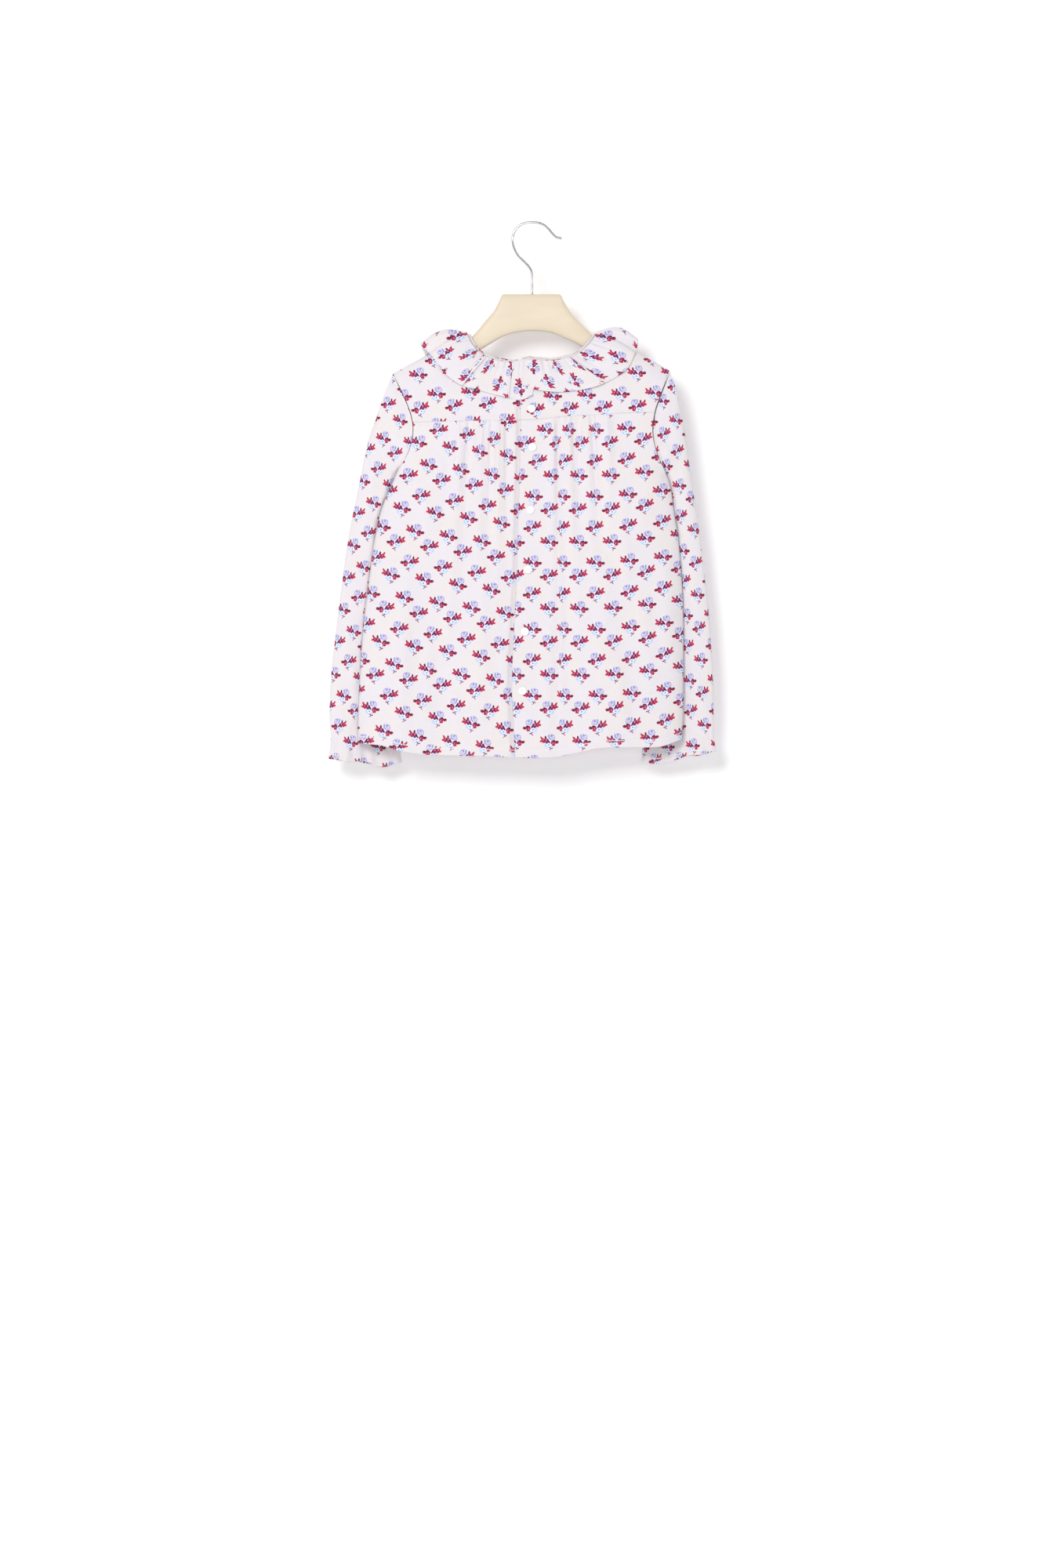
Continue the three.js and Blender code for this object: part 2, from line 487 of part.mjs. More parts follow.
function frillPoint(u, w) {
  const k = u * (FRILL.length - 1);
  const get = (name) => column(FRILL, 'k', name, k);
  const psi = get('psi');
  const across = w ** 0.9;
  const x = lerp(get('nx'), get('ex'), across);
  const z = lerp(get('nz'), get('ez'), across);
  const wave = 1.6 * w * Math.sin(2 * Math.PI * FRILL_FLUTES * u + 0.9 * Math.sin(9 * u));
  const off = lerp(get('off'), get('out'), w) + get('roll') * 0.5 * Math.sin(Math.PI * w) + wave;
  const [px, py, pz] = offBody(x, z, psi, off);
  return [px, py, pz + Math.abs(Math.sin(radians(psi))) * get('roll') * 0.75 * Math.sin(Math.PI * w)];
}

function collarFrill() {
  const stations = even(84);
  const across = [0, 0.14, 0.32, 0.55, 0.78, 1];
  return wall('collar_frill', stations, across, frillPoint, 1, cloth());
}

// The binding carries the neck edge on by RIM, towards the middle of the neck. It runs from the
// lap over the left shoulder, along the front and over the right shoulder back to the lap.
const NECK_ENDS = { left: -19, right: -13.5, share: 0.27 };

function bindingPoint(u, w) {
  const { left, right, share } = NECK_ENDS;
  const onFront = u > share && u < 1 - share;
  const part = onFront ? (u - share) / (1 - 2 * share) : Math.min(u, 1 - u) / share;
  const back = Math.sin(part * Math.PI / 2);
  const x = onFront
    ? lerp(NECK_FRONT[0].x, NECK_FRONT.at(-1).x, (1 - Math.cos(part * Math.PI)) / 2)
    : (u < 0.5 ? lerp(left, NECK_BACK[0].x, back) : lerp(right, NECK_BACK.at(-1).x, back));
  const z = column(onFront ? NECK_FRONT : NECK_BACK, 'x', 'z', x);
  const middle = new THREE.Vector2(-x, NECK_MIDDLE_Z - z).normalize();
  const rise = 1.1 + RIM * w;
  const face = onFront ? FRONT : BACK;
  const [bx, bz] = [x + middle.x * rise, z + middle.y * rise];
  return [bx, face * depth(bx, bz, face), bz];
}

function neckBinding() {
  return wall('neck_binding', even(66), [0, 1], bindingPoint, -1, cloth());
}

// Buttons.
const BUTTONS = [
  { x: -1, z: -237 }, { x: 0, z: -286 }, { x: -2.5, z: -366 },
  { x: -5.5, z: -442 }, { x: -9.5, z: -521 }, { x: -12.5, z: -596.5 },
];
const BUTTON_HOLE = { r: 0.85, apart: 2.6 };

function toManifold(geometry) {
  const bare = new THREE.BufferGeometry();
  const plain = geometry.index ? geometry.toNonIndexed() : geometry;
  bare.setAttribute('position', plain.getAttribute('position').clone());
  const merged = mergeVertices(bare, 1e-4);
  return new wasm.Manifold(new wasm.Mesh({
    numProp: 3,
    vertProperties: new Float32Array(merged.getAttribute('position').array),
    triVerts: new Uint32Array(merged.index.array),
  }));
}

function fromManifold(name, shape, material) {
  const mesh = shape.getMesh();
  return solid(name, Array.from(mesh.vertProperties), Array.from(mesh.triVerts), material);
}

// A two-hole button with a dished face and a rounded rim, its back face on y = 0, facing -Y.
function buttonShape() {
  const r = BUTTON_D / 2;
  const profile = [
    [0, 0], [r - 0.9, 0], [r, 0.8], [r, 1.6], [r - 0.6, BUTTON_T], [r - 1.4, BUTTON_T],
    [r - 2.1, BUTTON_T - 0.6], [0, BUTTON_T - 0.6],
  ].map(([x, y]) => new THREE.Vector2(x, y));
  const disc = toManifold(new THREE.LatheGeometry(profile, 14).rotateX(Math.PI));
  return [-1, 1].reduce((shape, way) => {
    const drill = new THREE.CylinderGeometry(BUTTON_HOLE.r, BUTTON_HOLE.r, 8, 6);
    drill.translate(0, 0, way * BUTTON_HOLE.apart / 2);
    return shape.subtract(toManifold(drill));
  }, disc);
}

function buttons() {
  const shape = buttonShape();
  return BUTTONS.map(({ x, z }, k) => {
    const reach = Math.max(...[-4, 0, 4].flatMap((dx) => (
      [-4, 0, 4].map((dz) => depth(x + dx, z + dz, BACK)))));
    const placed = shape.translate([x, -reach - 0.3, z]);
    return fromManifold(`button_${k + 1}`, placed, pearl());
  });
}

// Hanger.
// Sections of the hanger body along x: top, bottom and half thickness.
const HANGER = [
  { x: -151, top: -184, low: -190, half: 2.4 }, { x: -148, top: -179.5, low: -194, half: 4.2 },
  { x: -140, top: -175, low: -194, half: 4.8 }, { x: -120, top: -164.5, low: -187, half: 5 },
  { x: -100, top: -157, low: -179, half: 5.2 }, { x: -82, top: -149, low: -171, half: 4.4 },
  { x: -70, top: -137.5, low: -163.5, half: 5 }, { x: -60, top: -125, low: -157.5, half: 5.6 },
  { x: -50, top: -113.5, low: -151.5, half: 6 }, { x: -44, top: -103.5, low: -148, half: 6 },
  { x: -40.5, top: -95.5, low: -146, half: 6 }, { x: -39, top: -91.8, low: -145.3, half: 6 },
  { x: -36.5, top: -90.6, low: -144, half: 6 }, { x: -20, top: -90.5, low: -139, half: 6 },
  { x: 0, top: -90.5, low: -137, half: 6 }, { x: 20, top: -90.5, low: -138.5, half: 6 },
  { x: 34.5, top: -90.6, low: -143, half: 6 }, { x: 37, top: -91.8, low: -144, half: 6 },
  { x: 38.5, top: -95, low: -145, half: 6 }, { x: 43, top: -103.5, low: -147, half: 6 },
  { x: 50, top: -114, low: -150, half: 6 }, { x: 60, top: -125.5, low: -155.5, half: 5.6 },
  { x: 70, top: -135, low: -161.5, half: 5 }, { x: 81, top: -146, low: -169, half: 4.4 },
  { x: 100, top: -155, low: -177, half: 5.3 }, { x: 120, top: -162.7, low: -186, half: 5 },
  { x: 140, top: -172.5, low: -192, half: 4.8 }, { x: 148, top: -177, low: -192, half: 4.2 },
  { x: 151, top: -181, low: -188, half: 2.4 },
];
const HANGER_SIDES = 16;      // points round one section
const SHANK = { depth: 12, low: -102 };

function hangerBody() {
  const positions = [];
  const faces = [];
  for (const row of HANGER) {
    const middle = (row.top + row.low) / 2;
    const tall = (row.top - row.low) / 2;
    for (let k = 0; k < HANGER_SIDES; k += 1) {
      const a = 2 * Math.PI * (k + 0.5) / HANGER_SIDES;
      const round = (value) => Math.sign(value) * Math.abs(value) ** 0.62;
      positions.push(row.x, row.half * round(Math.cos(a)), middle + tall * round(Math.sin(a)));
    }
  }
  const last = (HANGER.length - 1) * HANGER_SIDES;
  for (let j = 0; j < HANGER.length - 1; j += 1) {
    for (let k = 0; k < HANGER_SIDES; k += 1) {
      const next = (k + 1) % HANGER_SIDES;
      const [a, b] = [j * HANGER_SIDES + k, j * HANGER_SIDES + next];
      faces.push(a, b, b + HANGER_SIDES, a, b + HANGER_SIDES, a + HANGER_SIDES);
    }
  }
  for (let k = 1; k < HANGER_SIDES - 1; k += 1) {
    faces.push(0, k + 1, k, last, last + k, last + k + 1);
  }
  const blank = solid('blank', positions, faces, cream());
  const socket = new THREE.CylinderGeometry(WIRE_D / 2 + 0.3, WIRE_D / 2 + 0.3, 2 * SHANK.depth, 16);
  socket.rotateX(Math.PI / 2).translate(0, 0, -90.5);
  const shape = toManifold(blank.geometry).subtract(toManifold(socket));
  return fromManifold('hanger_body', shape, cream());
}

// Centre line of the wire hook, from inside the hanger to its tip.
const HOOK = [
  [0, SHANK.low], [0, -84], [0, -66], [-1.8, -58.5], [-8.5, -50.5], [-17, -42], [-22.5, -32.5],
  [-25, -21], [-22.8, -10.5], [-16, -2.6], [-7, 0.9], [1.5, WIRE_D / 2], [9, 0.5], [16, -2.8],
  [22, -8.2], [26.6, -13.8], [31, -17.6], [36, -18.8],
];

function hangerHook() {
  const path = new THREE.CatmullRomCurve3(HOOK.map(([x, z]) => new THREE.Vector3(x, 0, z)));
  const section = new THREE.Shape();
  section.absarc(0, 0, WIRE_D / 2, 0, 2 * Math.PI, false);
  const wire = new THREE.ExtrudeGeometry(section, {
    steps: 40, curveSegments: 5, bevelEnabled: false, extrudePath: path,
  });
  const tip = new THREE.SphereGeometry(WIRE_D / 2 + 0.35, 12, 8);
  tip.translate(HOOK.at(-1)[0], 0, HOOK.at(-1)[1]);
  return fromManifold('hanger_hook', toManifold(wire).add(toManifold(tip)), steel());
}

const blouse = new THREE.Group();
blouse.name = 'blouse';
blouse.add(
  hangerBody(), hangerHook(), frontPanel(), backPanel('left'), backPanel('right'),
  backYoke('left'), backYoke('right'), sleeve('left'), sleeve('right'), collarFrill(),
  neckBinding(), ...buttons(),
);

export default blouse;
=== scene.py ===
import math
import bpy
import numpy as np
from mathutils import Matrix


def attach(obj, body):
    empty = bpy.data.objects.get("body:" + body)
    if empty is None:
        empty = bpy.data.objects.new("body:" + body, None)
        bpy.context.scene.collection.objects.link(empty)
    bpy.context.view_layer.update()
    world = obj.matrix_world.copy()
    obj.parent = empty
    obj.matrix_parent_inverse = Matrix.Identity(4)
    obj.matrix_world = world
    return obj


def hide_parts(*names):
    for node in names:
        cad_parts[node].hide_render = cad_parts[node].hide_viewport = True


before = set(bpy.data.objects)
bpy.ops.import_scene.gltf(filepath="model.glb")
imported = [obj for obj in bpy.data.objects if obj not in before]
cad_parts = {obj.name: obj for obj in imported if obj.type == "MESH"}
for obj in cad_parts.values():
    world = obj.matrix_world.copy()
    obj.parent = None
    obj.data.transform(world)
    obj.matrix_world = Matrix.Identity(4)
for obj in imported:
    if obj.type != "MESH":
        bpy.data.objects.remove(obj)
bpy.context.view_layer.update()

# Studio.
# The camera looks level at the buttoned back from far away, as a product photographer does.
# White paper hangs close behind and takes the soft shadow of a large lamp at the upper left; a
# second one beside the camera fills, and a third lights the side turned away.
bpy.context.scene.view_settings.view_transform = "Standard"

FRAME_TALL = 2.0              # metres of picture height at the garment
CAMERA_AWAY = 8.0
PAPER_BEHIND = 0.06
FLOOR_Z = -1.86
FLOOR_HALF = 9.0
PAPER_HALF = 4.0
PAPER_TOP = 2.2

lens = bpy.data.cameras.new("camera")
lens.sensor_fit = "AUTO"
lens.sensor_width = 36.0
lens.lens = 36.0 * CAMERA_AWAY / FRAME_TALL
camera = bpy.data.objects.new("camera", lens)
camera.location = (-0.0125, -CAMERA_AWAY, -0.715)
camera.rotation_euler = (math.radians(90), 0, 0)
bpy.context.scene.collection.objects.link(camera)
bpy.context.scene.camera = camera

world = bpy.data.worlds.new("daylight")
world.use_nodes = True
world.node_tree.nodes["Background"].inputs["Color"].default_value = (1.0, 1.0, 1.0, 1.0)
world.node_tree.nodes["Background"].inputs["Strength"].default_value = 0.51
bpy.context.scene.world = world


def lamp(name, place, aim, size, watts):
    """A square soft lamp at `place`, turned to face `aim`."""
    light = bpy.data.lights.new(name, "AREA")
    light.shape = "SQUARE"
    light.size = size
    light.energy = watts
    holder = bpy.data.objects.new(name, light)
    away = np.array(place) - np.array(aim)
    flat = math.hypot(away[0], away[1])
    holder.location = place
    holder.rotation_euler = (math.atan2(flat, away[2]), 0, math.atan2(away[0], -away[1]))
    bpy.context.scene.collection.objects.link(holder)


lamp("key_lamp", (-1.2, -4.0, 0.9), (0, 0, -0.35), 1.2, 82)
lamp("fill_lamp", (0.3, -6.0, -0.7), (0, 0, -0.5), 1.2, 40)
lamp("front_lamp", (1.6, 3.4, 0.9), (0, 0, -0.35), 1.6, 60)


def studio_sheet(name, corners, shade):
    """A flat four-cornered sheet of studio paper or floor, one quad."""
    mesh = bpy.data.meshes.new(name)
    mesh.from_pydata(corners, [], [(0, 1, 2, 3)])
    sheet = bpy.data.objects.new(name, mesh)
    bpy.context.scene.collection.objects.link(sheet)
    paint = bpy.data.materials.new(name)
    paint.use_nodes = True
    tree = paint.node_tree
    tree.nodes["Principled BSDF"].inputs["Base Color"].default_value = (shade, shade, shade, 1)
    tree.nodes["Principled BSDF"].inputs["Roughness"].default_value = 0.9
    tree.nodes["Principled BSDF"].inputs["Specular IOR Level"].default_value = 0.1
    mesh.materials.append(paint)
    return sheet


floor_corners = [
    (x * FLOOR_HALF, y * FLOOR_HALF, FLOOR_Z) for x, y in ((-1, -1), (1, -1), (1, 1), (-1, 1))]
floor = studio_sheet("floor", floor_corners, 0.86)

# The paper shows on its front alone, so that the garment can be walked round.
paper_corners = [
    (x * PAPER_HALF, PAPER_BEHIND, z)
    for x, z in ((-1, FLOOR_Z), (1, FLOOR_Z), (1, PAPER_TOP), (-1, PAPER_TOP))]
paper = studio_sheet("paper", paper_corners, 0.97)
paper.visible_glossy = False
paper.visible_transmission = False
paper.visible_shadow = False
tree = paper.data.materials[0].node_tree
tree.nodes["Principled BSDF"].inputs["Emission Color"].default_value = (1, 1, 1, 1)
tree.nodes["Principled BSDF"].inputs["Emission Strength"].default_value = 0.03
side = tree.nodes.new("ShaderNodeNewGeometry")
clear = tree.nodes.new("ShaderNodeBsdfTransparent")
pick = tree.nodes.new("ShaderNodeMixShader")
tree.links.new(side.outputs["Backfacing"], pick.inputs[0])
tree.links.new(tree.nodes["Principled BSDF"].outputs[0], pick.inputs[1])
tree.links.new(clear.outputs[0], pick.inputs[2])
tree.links.new(pick.outputs[0], tree.nodes["Material Output"].inputs["Surface"])


# Printed cotton.
# Every cut piece is the same white cotton poplin with a small all-over print of sprigs: red and
# maroon leaf sprays, a lilac rose above and a pale blue flower below, in two facings by turns.
def dye(red, green, blue):
    """Linear colour of a swatch read as 0 to 255 display values."""
    part = [c / 255 for c in (red, green, blue)]
    return (*[c / 12.92 if c <= 0.04045 else ((c + 0.055) / 1.055) ** 2.4 for c in part], 1.0)


class Thread:
    """A socket in a material; + - * / between threads and numbers add Math nodes."""

    def __init__(self, tree, socket=None):
        self.tree = tree
        self.socket = socket

    def node(self, kind, settings=None, inputs=None, out=0):
        """Adds a node: its settings first, then the values or threads of its sockets."""
        made = self.tree.nodes.new(kind)
        for key, value in (settings or {}).items():
            setattr(made, key, value)
        for key, value in (inputs or {}).items():
            if isinstance(value, Thread):
                self.tree.links.new(value.socket, made.inputs[key])
            else:
                made.inputs[key].default_value = value
        return Thread(self.tree, made.outputs[out])

    def twin(self, name):
        """Another output of the same node."""
        return Thread(self.tree, self.socket.node.outputs[name])

    def math(self, operation, first, second=0.0, third=0.0):
        return self.node(
            "ShaderNodeMath", {"operation": operation}, {0: first, 1: second, 2: third})

    def __add__(self, other):
        return self.math("ADD", self, other)

    def __radd__(self, other):
        return self.math("ADD", other, self)

    def __sub__(self, other):
        return self.math("SUBTRACT", self, other)

    def __rsub__(self, other):
        return self.math("SUBTRACT", other, self)

    def __mul__(self, other):
        return self.math("MULTIPLY", self, other)

    def __rmul__(self, other):
        return self.math("MULTIPLY", other, self)

    def __truediv__(self, other):
        return self.math("DIVIDE", self, other)

    def __lt__(self, other):
        return self.math("LESS_THAN", self, other)

    def wrap(self, low, high):
        return self.math("WRAP", self, high, low)

    def fade(self, start, end, low=0.0, high=1.0):
        """Smooth step from `low` at `start` to `high` at `end`."""
        return self.node(
            "ShaderNodeMapRange", {"interpolation_type": "SMOOTHSTEP"},
            {0: self, 1: start, 2: end, 3: low, 4: high})

    def noise(self, scale, detail=2.0, rough=0.5):
        """Soft noise at this vector."""
        return self.node(
            "ShaderNodeTexNoise", None,
            {"Vector": self, "Scale": scale, "Detail": detail, "Roughness": rough})

    def tint(self, other, share, way="MIX"):
        """This colour mixed with another by `share`."""
        return self.node(
            "ShaderNodeMix", {"data_type": "RGBA", "blend_type": way},
            {0: share, 6: self, 7: other}, 2)

    def blend(self, first, second):
        """A colour that goes from `first` to `second` as this thread goes from 0 to 1."""
        return self.node(
            "ShaderNodeMix", {"data_type": "RGBA"}, {0: self, 6: first, 7: second}, 2)


def start_material(name):
    """A new material: its principled shader and a thread to build on."""
    material = bpy.data.materials.new(name)
    material.use_nodes = True
    shader = material.node_tree.nodes["Principled BSDF"]
    return material, shader, Thread(material.node_tree)


def join(thread, shader, name):
    """Leads a thread into one of the shader's sockets."""
    thread.tree.links.new(thread.socket, shader.inputs[name])


RED = dye(190, 44, 80)
SCARLET = dye(206, 62, 92)
CRIMSON = dye(166, 38, 80)
MAROON = dye(120, 30, 70)
MAGENTA = dye(160, 46, 100)
DARK = dye(80, 28, 68)
INDIGO = dye(84, 50, 116)
PINK = dye(222, 132, 172)
LILAC = dye(214, 211, 236)
BLUE = dye(152, 160, 222)
VIOLET = dye(138, 142, 208)
ORCHID = dye(178, 164, 214)
MAUVE = dye(188, 166, 208)
HALO = dye(206, 217, 240)
SKY = dye(184, 202, 240)
ICE = dye(232, 238, 250)
MIST = dye(158, 148, 188)

# One sprig, in millimetres from its middle: place, half axes, turn in degrees and dye.
SPRIG = [
    (-1.2, -5.6, 5.6, 2.7, -15, HALO), (0.0, -3.9, 5.3, 3.2, -8, SKY),
    (-2.7, -3.2, 1.7, 1.2, 20, ICE),
    (2.5, -3.5, 1.8, 1.2, -10, ICE), (-1.0, -5.6, 1.6, 0.9, -10, ICE),
    (1.5, -5.5, 1.5, 0.8, 10, ICE),
    (0.1, -2.1, 1.5, 0.8, 0, ICE), (0.0, -3.9, 1.0, 0.8, 0, MIST),
    (3.1, 6.1, 4.6, 3.7, 8, LILAC), (-0.9, 6.6, 1.1, 3.0, 14, BLUE),
    (1.1, 4.1, 2.3, 0.8, -28, BLUE),
    (2.8, 8.0, 1.5, 1.1, 10, VIOLET), (3.5, 6.0, 1.7, 0.5, -22, ORCHID),
    (5.3, 8.8, 2.0, 0.6, -32, ORCHID),
    (7.2, 6.0, 0.6, 2.2, 10, MAUVE), (5.3, 3.8, 2.0, 0.6, 22, MAUVE),
    (1.6, 9.6, 1.6, 0.4, 12, ORCHID),
    (-10.4, 3.8, 2.9, 1.3, -44, RED), (-10.6, 0.2, 2.3, 1.5, 12, SCARLET),
    (-8.0, 1.4, 3.0, 2.3, -20, CRIMSON),
    (-5.2, 4.6, 1.4, 2.7, 12, MAROON), (-4.0, 1.2, 3.3, 2.3, -30, MAGENTA),
    (-3.9, 1.8, 1.5, 0.8, -30, PINK),
    (-8.6, 1.8, 1.2, 0.5, -20, PINK), (-6.2, 1.6, 1.0, 1.0, 0, MAROON),
    (-1.3, 0.9, 2.1, 1.5, -40, MAROON),
    (-7.4, -1.2, 1.9, 1.0, 14, RED), (-3.6, -1.4, 1.8, 0.9, -20, INDIGO),
    (0.4, -0.6, 1.4, 1.0, -20, DARK),
    (-2.0, 2.8, 1.1, 0.8, -40, DARK), (4.2, -0.4, 1.6, 2.7, -10, MAGENTA),
    (6.4, -3.0, 2.5, 1.9, 10, RED),
    (6.6, -0.7, 1.8, 1.1, 20, CRIMSON), (5.2, -1.6, 0.6, 1.1, 10, PINK),
    (6.5, 1.7, 1.8, 1.3, 0, DARK),
    (10.6, 0.3, 2.7, 1.9, 16, CRIMSON), (9.0, 0.1, 1.5, 1.4, 0, MAROON),
    (10.4, 1.4, 1.5, 0.7, 20, DARK),
    (2.0, -7.6, 1.6, 0.6, -32, MAROON), (4.4, -8.1, 1.6, 0.6, 30, MAROON),
    (2.3, -9.8, 2.0, 0.55, 54, MAGENTA),
]
GROUND = dye(230, 225, 230)
GROUND_WARM = dye(232, 225, 226)
COLUMN = 43.2                 # between the columns of one lattice
REPEAT = 84.6                 # down a column
EVEN_SECOND = 39.2            # from the first to the second sprig of an even column
ODD_FIRST = 58.4
ODD_STEP = 42.1
FACINGS = (4, 12)             # degrees that the two facings are turned by
SPRIG_WIDER = 1.08


def sprig_print(cloth):
    """Colour of the print at the cloth's own flat place (u right, v down, millimetres).
    Two interleaved lattices of columns repeat down the cloth. The nearer
    lattice's sprig wins, every second one in a column mirrored and turned. Each shape is the
    length of its own scaled place, stepped at 1."""
    split = cloth.node("ShaderNodeSeparateXYZ", None, {0: cloth})
    u, v = split, split.twin("Y")
    even_x = u.wrap(-COLUMN / 2, COLUMN / 2)
    even_y = v.wrap(-22.7, REPEAT - 22.7)
    even_second = 1 - (even_y < 19.6)
    even_y = even_y - EVEN_SECOND * even_second
    odd_x = (u - COLUMN / 2).wrap(-COLUMN / 2, COLUMN / 2)
    odd_y = v.wrap(-4.95, REPEAT - 4.95)
    odd_second = odd_y < 37.35
    odd_y = odd_y - ODD_FIRST + ODD_STEP * odd_second
    even_far = even_x * even_x / 144 + even_y * even_y / 110
    odd_far = odd_x * odd_x / 144 + odd_y * odd_y / 110
    odd = odd_far < even_far
    across = even_x + odd * (odd_x - even_x)
    up = 0 - even_y - odd * (odd_y - even_y)
    second = even_second + odd * (odd_second - even_second)
    # The first facing is turned one way, the second mirrored and turned the other way.
    across = across * (1 - 2 * second)
    first_turn, second_turn = [math.radians(degrees) for degrees in FACINGS]
    cosine = math.cos(first_turn) + (math.cos(second_turn) - math.cos(first_turn)) * second
    sine = -math.sin(first_turn) + (math.sin(first_turn) - math.sin(second_turn)) * second
    x = (across * cosine + up * sine) * SPRIG_WIDER
    y = up * cosine - across * sine
    place = cloth.node("ShaderNodeCombineXYZ", None, {0: x, 1: y})
    # The dye bleeds a little, so outlines wander by about half a millimetre.
    stray = cloth.noise(0.75, 3.0, 0.6).twin("Color")
    stray = cloth.node(
        "ShaderNodeVectorMath", {"operation": "SUBTRACT"}, {0: stray, 1: (0.5, 0.5, 0.5)})
    place = cloth.node(
        "ShaderNodeVectorMath", {"operation": "MULTIPLY_ADD"},
        {0: stray, 1: (1.5, 1.5, 0.0), 2: place})
    patch = cloth.noise(0.022, 2.0).fade(0.42, 0.62)
    colour = patch.blend(GROUND, GROUND_WARM)
    for cx, cy, rx, ry, turn, shade in SPRIG:
        inside = cloth.node(
            "ShaderNodeMapping", {"vector_type": "TEXTURE"},
            {"Vector": place, "Location": (cx, cy, 0), "Rotation": (0, 0, math.radians(turn)),
             "Scale": (rx, ry, 1)})
        far = cloth.node("ShaderNodeVectorMath", {"operation": "LENGTH"}, {0: inside}, "Value")
        colour = colour.tint(shade, far.fade(1.0 + 0.2 / min(rx, ry), 1.0 - 0.2 / min(rx, ry)))
    return colour


def printed_cotton(name):
    """Poplin: the print, a fine plain weave, slubs, soft crumpling and lockstitched hems, whose
    sunk stitching is also painted darker as painted shade.
    """
    material, shader, start = start_material(name)
    cloth = start.node("ShaderNodeUVMap", {"uv_map": "Cloth"})
    trim = start.node("ShaderNodeUVMap", {"uv_map": "Trim"})
    colour = sprig_print(cloth)
    flat = cloth.node("ShaderNodeSeparateXYZ", None, {0: cloth})
    u, v = flat, flat.twin("Y")
    # Weave: raised squares where warp and weft cross by turns, 0.42 mm apart, with slubs.
    weave = cloth.math("SINE", u * (math.pi / 0.42)) * cloth.math("SINE", v * (math.pi / 0.42))
    long_way = cloth.node("ShaderNodeMapping", None, {"Vector": cloth, "Scale": (0.06, 1.6, 1)})
    short_way = cloth.node("ShaderNodeMapping", None, {"Vector": cloth, "Scale": (1.6, 0.05, 1)})
    slub = long_way.noise(1.0, 1.0) + short_way.noise(1.0, 1.0)
    crumple = cloth.noise(0.06, 4.0, 0.62)
    soft = cloth.noise(0.018, 2.0, 0.5)
    # Stitches: x runs along the seam, y is the distance from it; 2.6 mm long, 0.8 mm apart.
    seam = cloth.node("ShaderNodeSeparateXYZ", None, {0: trim})
    along, away = seam, seam.twin("Y")
    row = cloth.math("ABSOLUTE", away).fade(0.5, 0.2)
    dash = cloth.math("ABSOLUTE", along.wrap(-1.7, 1.7)).fade(1.5, 1.1)
    sewn = row * dash
    # Painted shade: a band 1.5 mm either side of a stitch row is sunk and also coloured darker, as
    # shade in its dent.
    dent_and_painted_shade = cloth.math("ABSOLUTE", away).fade(1.5, 0.0)
    colour = colour.tint(dye(222, 216, 222), dent_and_painted_shade * 0.55)
    colour = colour.tint(dye(250, 247, 250), sewn * 0.75)
    shade = (slub - 1.0) * 0.06 + 1.0
    grey = cloth.node("ShaderNodeCombineColor", None, {0: shade, 1: shade, 2: shade})
    colour = colour.tint(grey, 1.0, "MULTIPLY")
    join(colour, shader, "Base Color")
    join(0.84 + (slub - 1.0) * 0.12, shader, "Roughness")
    height = weave * 0.035 + (slub - 1.0) * 0.10 + crumple * 1.1 + soft * 2.4
    height = height + sewn * 0.12 - dent_and_painted_shade * 0.28
    bump = cloth.node(
        "ShaderNodeBump", None, {"Strength": 0.55, "Distance": 0.001, "Height": height})
    join(bump, shader, "Normal")
    shader.inputs["Specular IOR Level"].default_value = 0.25
    shader.inputs["Sheen Weight"].default_value = 0.12
    shader.inputs["Sheen Roughness"].default_value = 0.5
    return material


cotton = printed_cotton("printed_cotton")


# Body of the blouse, shared form.
# The body hangs nearly flat: two layers meeting at the side seams and the shoulders, deepest in
# the middle. These named sizes and tables are the solids' own, in millimetres.
CLOTH = 0.42                  # thickness of the shown cotton
SEAM = 0.2
UNDERARM_Z = -318
LAP_UNDER = 8
LAP_DROP = 2.3                # how far the left back sinks below the right one
SIDE_ROUND = 60               # distance over which the body rounds in to its side seams
SHOULDER_ROUND = 26           # the same below the shoulder seams
SIDE_CLOSE = 12               # distance over which the armhole closes to the side seam
ARM_DEPTH = 8.3               # half depth in the middle of the armhole
ARM_EASE = 3.5                # how much earlier the round starts beside the armhole
BACK, FRONT = -1, 1


def rows(names, *values):
    """A table with named columns."""
    return np.rec.fromrecords([tuple(float(c) for c in row) for row in values], names=names)


SHOULDER = rows(
    "x,z", (-176.5, -191), (-153, -178), (-82, -141), (0, -108), (81, -140.5), (153, -175),
    (174.5, -187.5))
SIDES = rows(
    "z,left,right", (-682, -223, 190), (-652, -223, 191.5), (-615, -222, 193), (-515, -216, 193),
    (-459, -209, 191), (-407, -202, 187), (-366, -193, 181), (-334, -180, 176),
    (UNDERARM_Z, -173, 170.5))
ARMHOLE = {
    "left": {"top_x": -176.5, "top_z": -191, "low_x": -173, BACK: 23, FRONT: 27},
    "right": {"top_x": 174.5, "top_z": -187.5, "low_x": 170.5, BACK: -19, FRONT: -24},
}
DEPTH = rows(
    "z,back,front", (-682, 21, 13), (-560, 19, 12), (-420, 16.5, 11), (-318, 14.5, 10.5),
    (-250, 13, 10.5), (-171, 11, 10.5), (-120, 10.5, 10.5))
HEM = rows(
    "x,z", (-223, -663), (-192, -666), (-169, -673), (-131, -678), (-88, -679), (-27, -681),
    (8, -682), (28, -681), (49, -677), (95, -669), (158, -668), (191, -658))
NECK_BACK = rows(
    "x,z", (-82, -141.5), (-77, -153), (-68, -164), (-56, -171), (-40, -175), (-23, -177),
    (-7, -173), (11, -174), (25, -175), (39, -172), (55, -168), (68, -158), (76, -149), (81, -141))
NECK_FRONT = rows(
    "x,z", (-82, -141.5), (-78, -156), (-68, -174), (-50, -191), (-26, -201), (0, -204),
    (26, -201), (50, -191), (68, -174), (77, -155), (81, -141))
